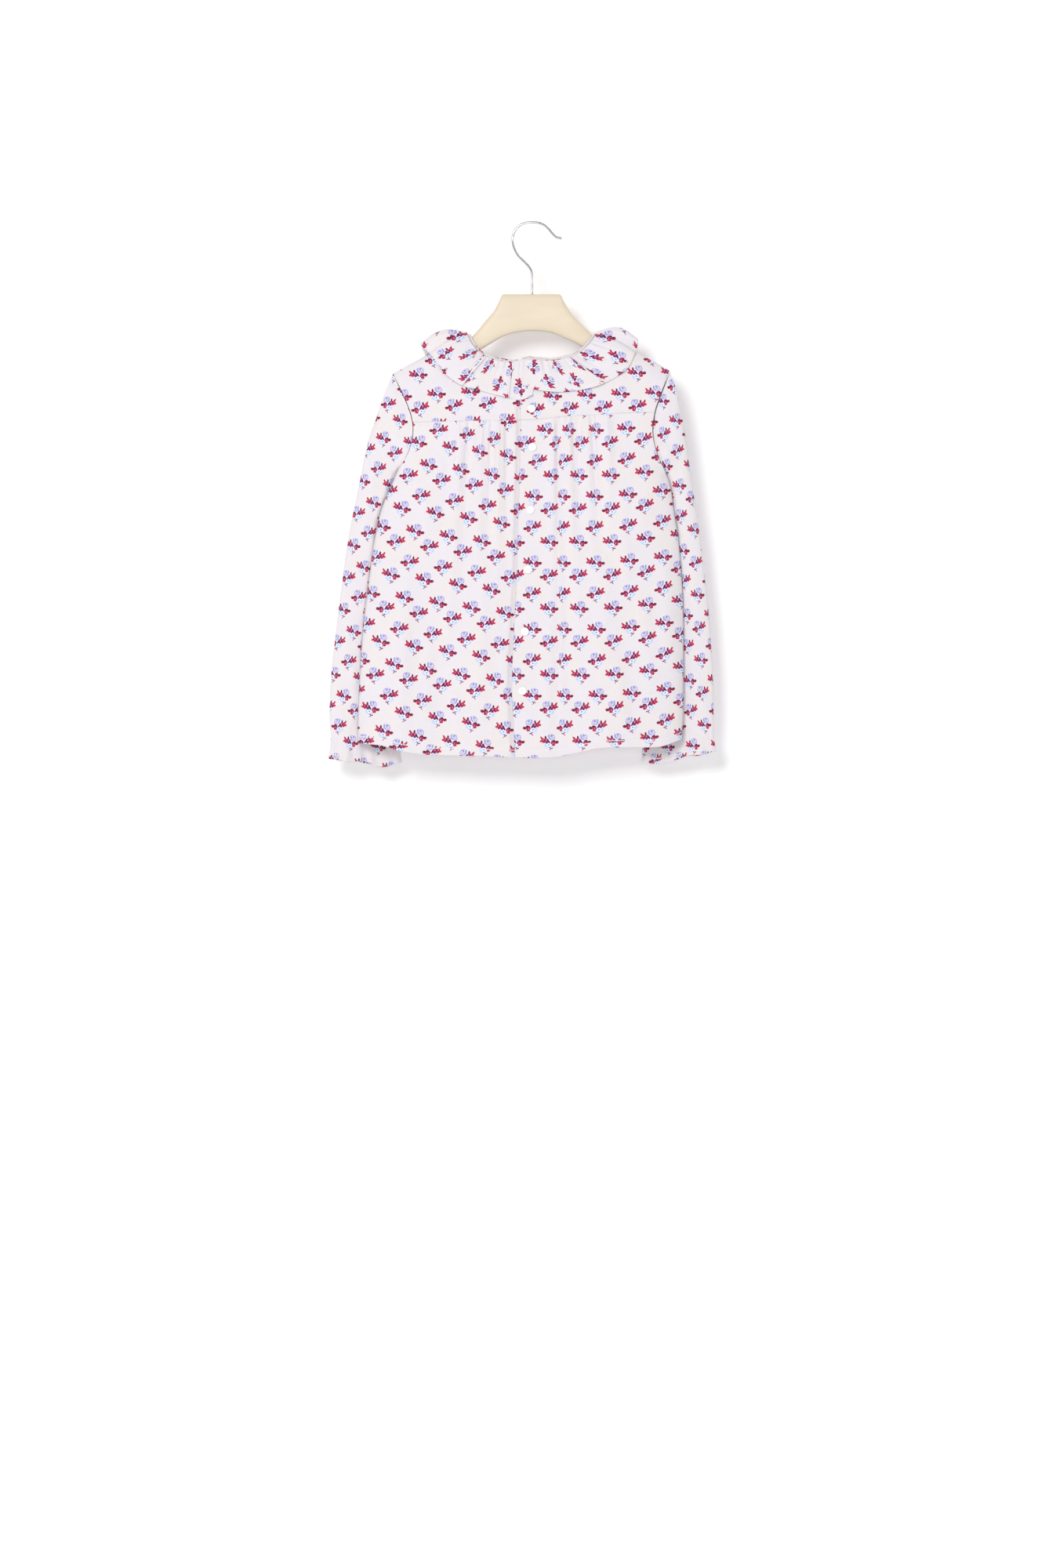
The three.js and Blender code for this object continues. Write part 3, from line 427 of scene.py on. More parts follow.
YOKE_SEAM = rows(
    "x,z", (-176, -255), (-150, -254), (-15, -251.5), (8, -250.5), (28, -248), (59, -246),
    (77, -245), (124, -242), (174, -241.5))
LAP = rows(
    "z,x", (-682, -22), (-635, -24), (-590, -26), (-512, -23), (-451, -20), (-376, -18),
    (-307, -16), (-250, -15), (-165, -16.5))
GATHERS = rows(
    "x,wide,high,drift,fall", (-104, 6, -2.2, -7, 120), (-92, 5, 2.8, -6, 170),
    (-78, 4.5, -2.4, -5, 120), (-66, 5.5, 2.6, -3, 190), (-52, 4.5, -2.2, -3, 150),
    (-42, 4.5, 2.5, -1, 210), (-31, 4, -1.6, -1, 120), (25, 4.5, 2.4, 1, 230),
    (34, 4.5, -2.6, 2, 240), (45, 5, 2.7, 3, 190), (56, 4.5, -2.2, 3, 130), (68, 5, 2.5, 4, 170),
    (80, 5, -2.2, 5, 120), (92, 5.5, 2.3, 6, 150))
FLUTES = rows(
    "x,wide,high", (-170, 18, 2.4), (-118, 20, -2.6), (-70, 20, 2.2), (40, 18, -2), (92, 22, 2.4),
    (145, 20, -2.4))


def column(table, key, name, at):
    """Column `name` read at `key` = at: cubic pieces whose slope at a row is the harmonic mean of
    the slopes beside it, or level where they disagree, so that nothing overshoots."""
    xs, ys = table[key], table[name]
    slopes = np.diff(ys) / np.diff(xs)
    before, after = slopes[:-1], slopes[1:]
    total = np.where(before + after == 0, 1, before + after)
    middle = np.where(before * after <= 0, 0, 2 * before * after / total)
    tangents = np.concatenate([slopes[:1], middle, slopes[-1:]])
    at = np.clip(at, xs[0], xs[-1])
    i = np.clip(np.searchsorted(xs, at) - 1, 0, len(xs) - 2)
    span = xs[i + 1] - xs[i]
    t = (at - xs[i]) / span
    return ((2 * t**3 - 3 * t**2 + 1) * ys[i] + (t**3 - 2 * t**2 + t) * span * tangents[i]
            + (3 * t**2 - 2 * t**3) * ys[i + 1] + (t**3 - t**2) * span * tangents[i + 1])


def lerp(a, b, t):
    return a + (b - a) * t


def smooth(t):
    """Smooth step of t clamped to 0 and 1."""
    t = np.clip(t, 0, 1)
    return t * t * (3 - 2 * t)


def dome(t):
    """Quarter circle from 0 at t = 0 to 1 at t = 1."""
    return np.sqrt(np.maximum(0, 1 - (1 - np.clip(t, 0, 1)) ** 2))


def arm_fall(arm, z):
    """0 at the shoulder point, 1 at the underarm."""
    return np.clip((arm["top_z"] - z) / (arm["top_z"] - UNDERARM_Z), 0, 1)


def edge_x(side, z, face):
    """x of the armhole seam: a chord bowed in by a skewed half sine; of the side seam below it."""
    arm = ARMHOLE[side]
    fall = arm_fall(arm, z)
    curved = lerp(arm["top_x"], arm["low_x"], fall) + arm[face] * np.sin(math.pi * fall**1.2)
    return np.where(z <= UNDERARM_Z, column(SIDES, "z", side, z), curved)


def edge_depth(side, z):
    """Half depth at the armhole seam, closing to the side seam just below it."""
    fall = arm_fall(ARMHOLE[side], z)
    opening = 1.2 * np.clip(1 - (UNDERARM_Z - z) / SIDE_CLOSE, 0, 1)
    return SEAM + opening + ARM_DEPTH * (4 * fall * (1 - fall)) ** 0.42


def gather(x, z):
    """Ridges and valleys let into the yoke seam: Gaussians that widen and die as they fall."""
    fall = np.maximum(column(YOKE_SEAM, "x", "z", x) - z, 0)
    start = lerp(0.35, 1, smooth(fall / 16)) * (column(YOKE_SEAM, "x", "z", x) > z)
    total = 0
    for row in GATHERS:
        across = (x - row.x - row.drift * fall / 100) / (row.wide * (1 + fall / 260))
        total = total + row.high * start * np.exp(-across**2 - (fall / row.fall) ** 2)
    return total


def depth(x, z, face):
    """Half depth of the body: the middle's depth with its gathers and flutes, rounding in to the
    side seams and to the shoulders by quarter circles; at the armholes the round starts eased."""
    grow = smooth((-330 - z) / 340)
    flutes = sum(row.high * np.exp(-(((x + row.x * face) / row.wide) ** 2)) for row in FLUTES)
    middle = column(DEPTH, "z", "back" if face == BACK else "front", z) + grow * flutes
    if face == BACK:
        middle = middle + gather(x, z)
    left = x < 0
    inset = np.where(left, x - edge_x("left", z, face), edge_x("right", z, face) - x)
    edge = np.where(left, edge_depth("left", z), edge_depth("right", z))
    eased = ARM_EASE * smooth((z - UNDERARM_Z) / 20)
    across = lerp(edge, middle, dome((inset + eased) / (SIDE_ROUND + eased)))
    below = column(SHOULDER, "x", "z", x) - z
    return SEAM + (across - SEAM) * dome(below / SHOULDER_ROUND)


def creases(x, z, table):
    """Sum of creases drawn from one point to another: each is a ridge over its line's signed
    distance, `left` wide on one side and `right` on the other, fading in and out along it."""
    total = np.zeros(np.broadcast(x, z).shape)
    for row in table:
        dx, dz = row.x1 - row.x0, row.z1 - row.z0
        long = math.hypot(dx, dz)
        along = ((x - row.x0) * dx + (z - row.z0) * dz) / long**2
        off = ((x - row.x0) * dz - (z - row.z0) * dx) / -long
        wide = np.where(off < 0, row.left, row.right) * (1 + 0.5 * np.clip(along, 0, 1))
        ends = smooth((along + 0.06) / 0.2) * smooth((1.06 - along) / 0.45)
        total = total + row.high * ends * np.exp(-((off / wide) ** 2))
    return total


def normals(points, turn, closed=False):
    """Unit normals of a grid: the cross product of its two directions."""
    if closed:
        along = np.roll(points, -1, 1) - np.roll(points, 1, 1)
    else:
        along = np.gradient(points, axis=1)
    normal = np.cross(along, np.gradient(points, axis=0)) * turn
    return normal / np.maximum(np.linalg.norm(normal, axis=2, keepdims=True), 1e-9)


def cut_piece(name, points, cloth, trim, turn, closed=False, face=0, thick=CLOTH, paint=cotton):
    """A closed thin wall on a grid of outer points in millimetres. The inner points lie `thick`
    in along the normal; four strips of rim close the edges. `cloth` and `trim` are the flat
    places of the grid's points, which a closed tube carries one column further."""
    high, wide = points.shape[:2]
    inner = points - normals(points, turn, closed) * thick
    if face:
        inner[..., 1] = face * np.maximum(face * inner[..., 1], 0.1)
    count = high * wide
    spots = np.concatenate([points.reshape(-1, 3), inner.reshape(-1, 3)]) / 1000
    flats = cloth.shape[1]
    across = wide if closed else wide - 1

    def quads(*corners):
        """Vertex and flat-place numbers of quads given by (row, column, layer) corners."""
        verts = [np.ravel(j * wide + i % wide + layer * count) for j, i, layer in corners]
        places = [np.ravel(j * flats + i) for j, i, layer in corners]
        return np.stack(verts, 1), np.stack(places, 1)

    j, i = np.mgrid[0:high - 1, 0:across]
    k, n = np.arange(across), np.arange(high - 1)
    o, top = 0 * k, 0 * k + high - 1
    parts = [
        quads((j, i, 0), (j, i + 1, 0), (j + 1, i + 1, 0), (j + 1, i, 0)),
        quads((j + 1, i, 1), (j + 1, i + 1, 1), (j, i + 1, 1), (j, i, 1)),
        quads((o, k + 1, 0), (o, k, 0), (o, k, 1), (o, k + 1, 1)),
        quads((top, k, 0), (top, k + 1, 0), (top, k + 1, 1), (top, k, 1)),
    ]
    if not closed:
        first, last = 0 * n, 0 * n + across
        parts.append(quads((n, first, 0), (n + 1, first, 0), (n + 1, first, 1), (n, first, 1)))
        parts.append(quads((n + 1, last, 0), (n, last, 0), (n, last, 1), (n + 1, last, 1)))
    verts = np.concatenate([part[0] for part in parts])
    places = np.concatenate([part[1] for part in parts])
    if turn < 0:
        verts, places = verts[:, ::-1], places[:, ::-1]
    return make_mesh(name, spots, verts, paint, {"Cloth": cloth, "Trim": trim}, places)


def make_mesh(name, spots, verts, paint, flats=None, places=None, caps=None):
    """Puts points in metres, quads and the triangles of `caps` into a smooth mesh object, with the
    flat places of its quads."""
    mesh = bpy.data.meshes.new(name)
    caps = np.zeros((0, 3), dtype=int) if caps is None else caps
    corners = np.concatenate([verts.ravel(), caps.ravel()])
    sizes = np.concatenate([np.full(len(verts), 4), np.full(len(caps), 3)])
    mesh.vertices.add(len(spots))
    mesh.vertices.foreach_set("co", np.ascontiguousarray(spots, dtype=np.float32).ravel())
    mesh.loops.add(len(corners))
    mesh.loops.foreach_set("vertex_index", corners.astype(np.int32))
    mesh.polygons.add(len(sizes))
    mesh.polygons.foreach_set("loop_start", (np.cumsum(sizes) - sizes).astype(np.int32))
    mesh.polygons.foreach_set("loop_total", sizes.astype(np.int32))
    mesh.polygons.foreach_set("use_smooth", np.ones(len(sizes), dtype=bool))
    for title, values in (flats or {}).items():
        layer = mesh.uv_layers.new(name=title)
        picked = values.reshape(-1, 2)[places.ravel()]
        layer.data.foreach_set("uv", np.ascontiguousarray(picked, dtype=np.float32).ravel())
    mesh.update(calc_edges=True)
    mesh.validate()
    mesh.materials.append(paint)
    piece = bpy.data.objects.new(name, mesh)
    bpy.context.scene.collection.objects.link(piece)
    return piece


def settle(piece, node):
    """The piece rides with the garment and stands for its solid, which is hidden."""
    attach(piece, "root")
    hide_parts(node)


def spaced(*stops):
    """Grid lines from (place, count) stops: even steps between one stop and the next."""
    parts = [np.linspace(a, b, int(count), endpoint=False) for (a, count),
    (b, _) in zip(stops, stops[1:])]
    return np.concatenate([*parts, [stops[-1][0]]])


def run_length(points):
    """Distance walked along each grid row, in millimetres."""
    steps = np.linalg.norm(np.diff(points, axis=1), axis=2)
    return np.concatenate([np.zeros((len(points), 1)), np.cumsum(steps, axis=1)], axis=1)


# Back panels.
# Two cotton panels gathered into the yokes at their tops; the right one laps over the left at the
# centre and carries the buttonholes. Their tops are tucked under the yokes and sewn flat, and a
# 10 mm hem is turned up along the bottom and stitched.
# Fold lines: the place at the seam, the drift in x by 100 mm of fall, the width of the gentle and
# of the steep side, height, fall, the cloth hidden in the fold, and the share of that which the
# print on the near side of the fold gives way by.
FOLDS = {
    "left": rows(
        "x,drift,gentle,steep,high,fall,hide,near", (-99, -12, 9, 2.6, 1.0, 46, 3, 0.5),
        (-93, -9, 4, 1.6, 0.7, 34, 2, 0.5), (-84, -9, 5, 1.6, 0.9, 60, 2, 0.5),
        (-76, -7, 4, 1.5, 0.8, 44, 2, 0.5),
        (-69, -5, 4, 1.5, 0.9, 70, 2.5, 0.5), (-63, -4, 3.4, 1.5, 0.6, 36, 1.5, 0.5),
        (-55, -3, 5, 1.6, 1.0, 84, 3, 0.5), (-49, -2, 3.4, 1.4, 0.6, 38, 1.5, 0.5),
        (-43, -1, 4.5, 1.6, 1.0, 120, 3, 0.5), (-36.5, 0, 4, 1.6, 0.8, 90, 2, 0.5),
        (-29, 0, 3, 1.4, 0.5, 40, 1, 0.5)),
    "right": rows(
        "x,drift,gentle,steep,high,fall,hide,near", (26.5, 1, 5, 1.6, 0.8, 80, 2, 1),
        (35, 0.3, 6.5, 1.3, 1.5, 360, 8, 1), (40, 1, 3.2, 1.5, 0.7, 46, 2, 0),
        (47, 2, 3.6, 1.5, 0.7, 44, 2, 0),
        (54, 3, 4.2, 1.5, 0.9, 62, 3, 0), (64, 3, 4.2, 1.6, 0.7, 40, 2, 0),
        (71, 4, 3.6, 1.5, 0.8, 50, 2, 0),
        (77.5, 6, 4.5, 1.6, 1.0, 104, 3, 0), (84, 7, 3.6, 1.6, 0.6, 40, 1.5, 0),
        (94, 10, 6, 2.2, 0.9, 60, 3, 0)),
}
BACK_CREASES = {
    "left": rows(
        "x0,z0,x1,z1,left,right,high", (-150, -262, -120, -256, 3, 5, 0.5),
        (-152, -300, -128, -420, 7, 10, 0.8),
        (-98, -380, -112, -560, 10, 8, 1.1), (-60, -420, -66, -640, 9, 12, 1.2),
        (-160, -450, -172, -640, 12, 9, 1.3), (-130, -520, -138, -672, 8, 10, 0.9),
        (-186, -420, -200, -600, 8, 8, 0.8), (-36, -520, -38, -676, 7, 9, 0.9),
        (-171, -322, -150, -345, 4, 7, 0.9), (-92, -600, -96, -676, 7, 6, 0.8)),
    "right": rows(
        "x0,z0,x1,z1,left,right,high", (152, -300, 138, -400, 8, 9, 0.8),
        (112, -330, 122, -500, 9, 8, 0.9),
        (86, -420, 92, -600, 10, 12, 1.2), (60, -400, 62, -560, 7, 9, 0.8),
        (140, -470, 152, -640, 12, 9, 1.3),
        (168, -420, 178, -600, 8, 9, 0.9), (20, -500, 16, -676, 8, 9, 0.8),
        (110, -560, 116, -664, 8, 8, 1.0),
        (168, -322, 150, -342, 6, 4, 0.9), (44, -590, 42, -674, 7, 6, 0.8)),
}
SEAM_END = 0.87               # the yoke seam's end as a share of the shoulder point's x
TUCKED = 3.5                  # how far a panel's top reaches up under its yoke
HEM_UP = 9.0                  # height of the hem's stitching
PRINT_TURN = {"left": 8.7, "right": 0.0}
PRINT_FROM = {"left": (-107.4, -400.0), "right": (43.0, -433.8)}
PRINT_CLOSER = 0.985          # spacing of the left back's rows against the right one's
PRINT_RISE = 9                # how far the right back's rows climb towards its side seam


def pressed_folds(side, x, z):
    """Relief and hidden cloth of the gathers' sharp folds. A fold is a Gaussian with a gentle and
    a steep side; the cloth it swallows shifts the print across its steep side."""
    fall = column(YOKE_SEAM, "x", "z", x) - z
    relief, shift = 0, 0
    steep_way = 1 if side == "left" else -1
    for row in FOLDS[side]:
        across = (x - row.x - row.drift * fall / 100) * steep_way
        dying = np.exp(-((np.maximum(fall, 0) / row.fall) ** 2)) * smooth(fall / 5 + 1)
        wide = np.where(across < 0, row.gentle, row.steep)
        relief = relief + row.high * dying * np.exp(-((across / wide) ** 2))
        shift = shift + row.hide * dying * (smooth(across / (2 * row.steep)) - row.near) * steep_way
    return relief, shift


def lap_drop(x, z):
    """How far the left back has sunk on its way under the right one's edge."""
    return LAP_DROP * smooth((x - column(LAP, "z", "x", z) + 7) / 5)


def hem_turn(above):
    """Step of a turned-up hem: a second layer's thickness up to 10 mm above the edge."""
    return 0.28 * (1 - smooth((above - 9.2) / 1.2))


def turned_print(x, z, start, degrees):
    """Flat place: (x, z) from `start`, with the rows turned clockwise; v runs down."""
    a = math.radians(degrees)
    dx, dz = x - start[0], z - start[1]
    return dx * math.cos(a) - dz * math.sin(a), -dx * math.sin(a) - dz * math.cos(a)


def back_panel(side):
    """Grid across from the armhole or side seam to the centre edge and down from under the yoke
    to the hem; y is minus the body's depth with the folds added."""
    if side == "left":
        s = spaced((0, 8), (0.05, 18), (0.28, 84), (0.86, 14), (1, 1))
    else:
        s = spaced((0, 8), (0.05, 20), (0.32, 78), (0.88, 12), (1, 1))
    t = spaced((0, 10), (0.02, 46), (0.2, 120), (0.965, 16), (1, 1))
    s, t = np.meshgrid(s, t)
    arm = ARMHOLE[side]
    top_end = LAP_UNDER if side == "left" else column(LAP, "z", "x", -250.0)
    low_end = LAP_UNDER if side == "left" else -22.5
    top_x = lerp(arm["top_x"] * SEAM_END, top_end, s)
    low_x = lerp(edge_x(side, np.float64(-665), BACK), low_end, s)
    top = column(YOKE_SEAM, "x", "z", top_x) + TUCKED
    z = lerp(top, column(HEM, "x", "z", low_x), t)
    inner = LAP_UNDER if side == "left" else column(LAP, "z", "x", z)
    x = lerp(edge_x(side, z, BACK), inner, s)
    relief, shift = pressed_folds(side, x, z)
    relief = relief + creases(x, z, BACK_CREASES[side])
    edge = smooth(s / 0.06) if side == "left" else smooth(s / 0.06) * smooth((x - inner) / 10)
    tucked = smooth((column(YOKE_SEAM, "x", "z", x) - z + 2.2) / 3.0)
    out = depth(x, z, BACK) + 1.7 * relief * edge * tucked - 0.9 * (1 - tucked)
    out = out + hem_turn(z - column(HEM, "x", "z", low_x)) * edge
    if side == "left":
        out = out - lap_drop(x, z)
    points = np.stack([x, -np.maximum(out, 0.3), z], 2)
    u, v = turned_print(x, z, PRINT_FROM[side], PRINT_TURN[side])
    if side == "left":
        v = v * PRINT_CLOSER
    else:
        v = v + PRINT_RISE * np.clip((x - 90) / 87, 0, 1.2) ** 1.3
    cloth = np.stack([u + shift, v], 2)
    trim = np.stack([x, z - column(HEM, "x", "z", low_x) - HEM_UP], 2)
    turn = -1 if side == "left" else 1
    return cut_piece(f"back_{side}_cotton", points, cloth, trim, turn, face=BACK)


for side, wide, area in (("left", 0.27, 0.112), ("right", 0.26, 0.108)):
    panel = back_panel(side)
    settle(panel, f"back_{side}")


# Back yokes.
# Two plain pieces from the shoulders to the chest, cut with a level grain. The gathered panels are
# sewn to their lower edges, which stand proud by the thickness of the turned seam.
YOKE_CREASES = {
    "left": rows(
        "x0,z0,x1,z1,left,right,high", (-168, -214, -132, -236, 5, 8, 0.7),
        (-120, -206, -70, -240, 8, 10, 0.5),
        (-160, -248, -148, -226, 4, 5, 0.6), (-40, -240, -24, -210, 8, 7, 0.5)),
    "right": rows(
        "x0,z0,x1,z1,left,right,high", (166, -212, 136, -232, 6, 5, 0.7),
        (120, -196, 84, -232, 9, 9, 0.5),
        (158, -238, 146, -216, 4, 5, 0.6), (30, -236, 16, -214, 8, 7, 0.4)),
}
YOKE_PRINT = {"left": ((-79.0, -216.0), -4.0), "right": ((69.0, -220.0), -2.0)}


def back_yoke(side):
    """Grid across from the armhole to the centre edge and down from the shoulder or neck edge to
    the yoke seam."""
    arm = ARMHOLE[side]
    neck = NECK_BACK.x[0] if side == "left" else NECK_BACK.x[-1]
    end = float(LAP_UNDER if side == "left" else column(LAP, "z", "x", np.float64(-171)))
    turn_at = (neck - arm["top_x"]) / (end - arm["top_x"])
    s = spaced((0, 10), (turn_at * 0.2, 24), (turn_at, 60), (1, 1))
    t = spaced((0, 8), (0.06, 34), (0.94, 6), (1, 1))
    s, t = np.meshgrid(s, t)
    top_x = lerp(arm["top_x"], end, s)
    outside = top_x < neck if side == "left" else top_x > neck
    top = np.where(outside, column(SHOULDER, "x", "z", top_x), column(NECK_BACK, "x", "z", top_x))
    low_end = LAP_UNDER if side == "left" else column(LAP, "z", "x", -250.0)
    low_x = lerp(arm["top_x"] * SEAM_END, low_end, s)
    z = lerp(top, column(YOKE_SEAM, "x", "z", low_x), t)
    inner = LAP_UNDER if side == "left" else column(LAP, "z", "x", z)
    x = lerp(edge_x(side, z, BACK), inner, s)
    seam = z - column(YOKE_SEAM, "x", "z", low_x)
    relief = creases(x, z, YOKE_CREASES[side]) * smooth(s / 0.1)
    relief = relief + 0.6 * np.exp(-((seam / 3.5) ** 2)) * smooth(s / 0.04)
    out = depth(x, z, BACK) + relief
    if side == "left":
        out = out - lap_drop(x, z)
    points = np.stack([x, -np.maximum(out, 0.3), z], 2)
    start, degrees = YOKE_PRINT[side]
    cloth = np.stack(turned_print(x, z, start, degrees), 2)
    # The trim's stitch row lies 0.4 mm below the yoke's lower edge, so its painted shade darkens a
    # line along the seam.
    trim = np.stack([x, seam + 0.4], 2)
    turn = -1 if side == "left" else 1
    return cut_piece(f"yoke_{side}_cotton", points, cloth, trim, turn, face=BACK)


for side, wide, area in (("left", 0.19, 0.0145), ("right", 0.195, 0.0155)):
    yoke = back_yoke(side)
    settle(yoke, f"yoke_{side}")


# Front.
# One piece of the same cotton, turned away from the camera: plain, scooped at the neck, falling in
# a few soft folds like those of the back, with the same stitched hem.
FRONT_CREASES = rows(
    "x0,z0,x1,z1,left,right,high", (-20, -262, -30, -470, 9, 7, 1.1),
    (24, -262, 40, -520, 7, 10, 1.2),
    (-64, -262, -96, -500, 9, 10, 1.0), (78, -264, 110, -520, 10, 8, 1.0),
    (2, -330, 4, -640, 9, 9, 1.0),
    (-150, -340, -176, -640, 12, 9, 1.3), (150, -350, 166, -640, 9, 12, 1.2),
    (-110, -480, -118, -670, 10, 9, 1.1),
    (118, -500, 124, -666, 9, 10, 1.1), (-48, -480, -52, -676, 8, 9, 1.0),
    (66, -540, 70, -672, 8, 8, 0.9),
    (-140, -230, -110, -280, 6, 9, 0.7), (138, -228, 112, -276, 9, 6, 0.7))


def front_panel():
    """Grid across from one armhole to the other and down from the shoulders and neck to the hem."""
    left, right = ARMHOLE["left"], ARMHOLE["right"]
    share = lambda x: (x - left["top_x"]) / (right["top_x"] - left["top_x"])
    neck_left, neck_right = NECK_FRONT.x[0], NECK_FRONT.x[-1]
    s = spaced(
        (0, 8), (0.03, 22), (share(neck_left), 62), (share(neck_right), 22), (0.97, 8), (1, 1))
    t = spaced((0, 8), (0.03, 34), (0.27, 100), (0.965, 14), (1, 1))
    s, t = np.meshgrid(s, t)
    top_x = lerp(left["top_x"], right["top_x"], s)
    within = (top_x > neck_left) & (top_x < neck_right)
    top = np.where(within, column(NECK_FRONT, "x", "z", top_x), column(SHOULDER, "x", "z", top_x))
    hem = column(HEM, "x", "z", lerp(SIDES.left[0], SIDES.right[0], s))
    z = lerp(top, hem, t)
    x = lerp(edge_x("left", z, FRONT), edge_x("right", z, FRONT), s)
    from_sides = smooth(s / 0.04) * smooth((1 - s) / 0.04)
    out = depth(x, z, FRONT) + (creases(x, z, FRONT_CREASES) + hem_turn(z - hem)) * from_sides
    points = np.stack([x, np.maximum(out, 0.3), z], 2)
    cloth = np.stack([-x - 3, -300 - z], 2)
    trim = np.stack([x, z - hem - HEM_UP], 2)
    return cut_piece("front_cotton", points, cloth, trim, 1, face=FRONT)


front = front_panel()
settle(front, "front")


# Sleeves.
# One-piece sleeves hanging a little in front of the body. The end is a frill, hemmed at its edge
# and drawn in by elastic sewn inside 28 mm above it; folds fan out from there and from the head.
SLEEVES = {
    "left": rows(
        "t,ox,oz,ix,iz,oy,iy,deep", (0, -177.2, -191.3, -173.8, -318.9, 0, 0, 9.5),
        (0.03, -183, -205, -181, -333, 0, 3, 10), (0.062, -189, -219, -182, -350, 0, 7.5, 10.5),
        (0.12, -199, -248, -172, -370, 1, 15, 11), (0.18, -209, -277, -162, -391, 2, 19, 11),
        (0.31, -222, -338, -156, -430, 4, 22, 11), (0.43, -234, -397, -156, -472, 6, 23, 10.5),
        (0.56, -243, -459, -158, -517, 7, 23, 10), (0.67, -250, -515, -161, -557, 8, 23, 9.5),
        (0.8, -257, -579, -165, -603, 9, 24, 9), (0.9, -259, -628, -168, -638, 10, 24, 9),
        (0.95, -257.5, -656, -170, -659, 10, 24, 8), (1, -260, -683, -166.5, -687, 9, 26, 10)),
    "right": rows(
        "t,ox,oz,ix,iz,oy,iy,deep", (0, 175.7, -188, 171.3, -318.9, 0, 0, 9.5),
        (0.03, 179, -199, 177.5, -332, 0, 3, 10), (0.062, 183.5, -213, 176, -349, 0, 7.5, 10.5),
        (0.12, 190, -241, 166, -369, 1, 15, 11), (0.18, 195, -270, 156, -390, 2, 19, 11),
        (0.31, 204, -333, 148, -430, 4, 22, 11), (0.43, 213, -392, 144, -472, 6, 23, 10.5),
        (0.56, 220.5, -455, 141, -517, 7, 23, 10), (0.67, 226.5, -512, 139, -557, 8, 23, 9.5),
        (0.8, 230.5, -577, 139, -603, 9, 24, 9), (0.9, 231.5, -625, 140, -638, 10, 24, 9),
        (0.95, 231.5, -650, 142, -656, 10, 24, 8), (1, 235, -673, 139.5, -686, 9, 26, 10)),
}
SLEEVE_CREASES = {
    "left": rows(
        "x0,z0,x1,z1,left,right,high", (-178, -205, -176, -256, 3, 5, 1.1),
        (-178, -250, -166, -306, 4, 6, 1.2),
        (-192, -240, -186, -330, 7, 6, 1.0), (-205, -300, -212, -420, 8, 6, 1.1),
        (-184, -340, -206, -380, 6, 8, 1.0), (-180, -372, -222, -452, 7, 9, 1.1),
        (-176, -430, -206, -520, 8, 7, 0.9), (-232, -470, -240, -600, 7, 8, 1.0),
        (-200, -520, -214, -640, 8, 6, 0.9), (-246, -590, -248, -652, 4, 6, 1.3),
        (-228, -560, -231, -654, 6, 5, 1.2), (-209, -600, -208, -655, 4, 5, 1.1),
        (-190, -590, -188, -656, 5, 4, 1.1)),
    "right": rows(
        "x0,z0,x1,z1,left,right,high", (174, -200, 172, -262, 5, 3, 1.0),
        (172, -283, 180, -342, 5, 5, 1.4),
        (186, -240, 178, -322, 6, 7, 1.0), (194, -300, 196, -420, 6, 8, 1.0),
        (168, -346, 192, -384, 8, 6, 1.0),
        (160, -380, 204, -450, 9, 7, 1.1), (206, -450, 214, -580, 8, 7, 1.0),
        (176, -450, 190, -560, 7, 8, 0.8),
        (218, -580, 222, -648, 5, 4, 1.2), (205, -560, 207, -650, 5, 6, 1.2),
        (190, -600, 188, -652, 4, 5, 1.0),
        (174, -590, 170, -652, 5, 4, 1.0)),
}
SLEEVE_PRINT = {"left": ((-190.0, -275.0), 8.8, 1.22), "right": ((187.5, -335.0), -3.0, 1.35)}
PINCH_AT = 0.95               # where the elastic draws the sleeve in
FRONT_CLEAR = 4.2             # air between a sleeve and the front it hangs against
HEM_STITCH = 6.0              # height of the stitching above a sleeve's end


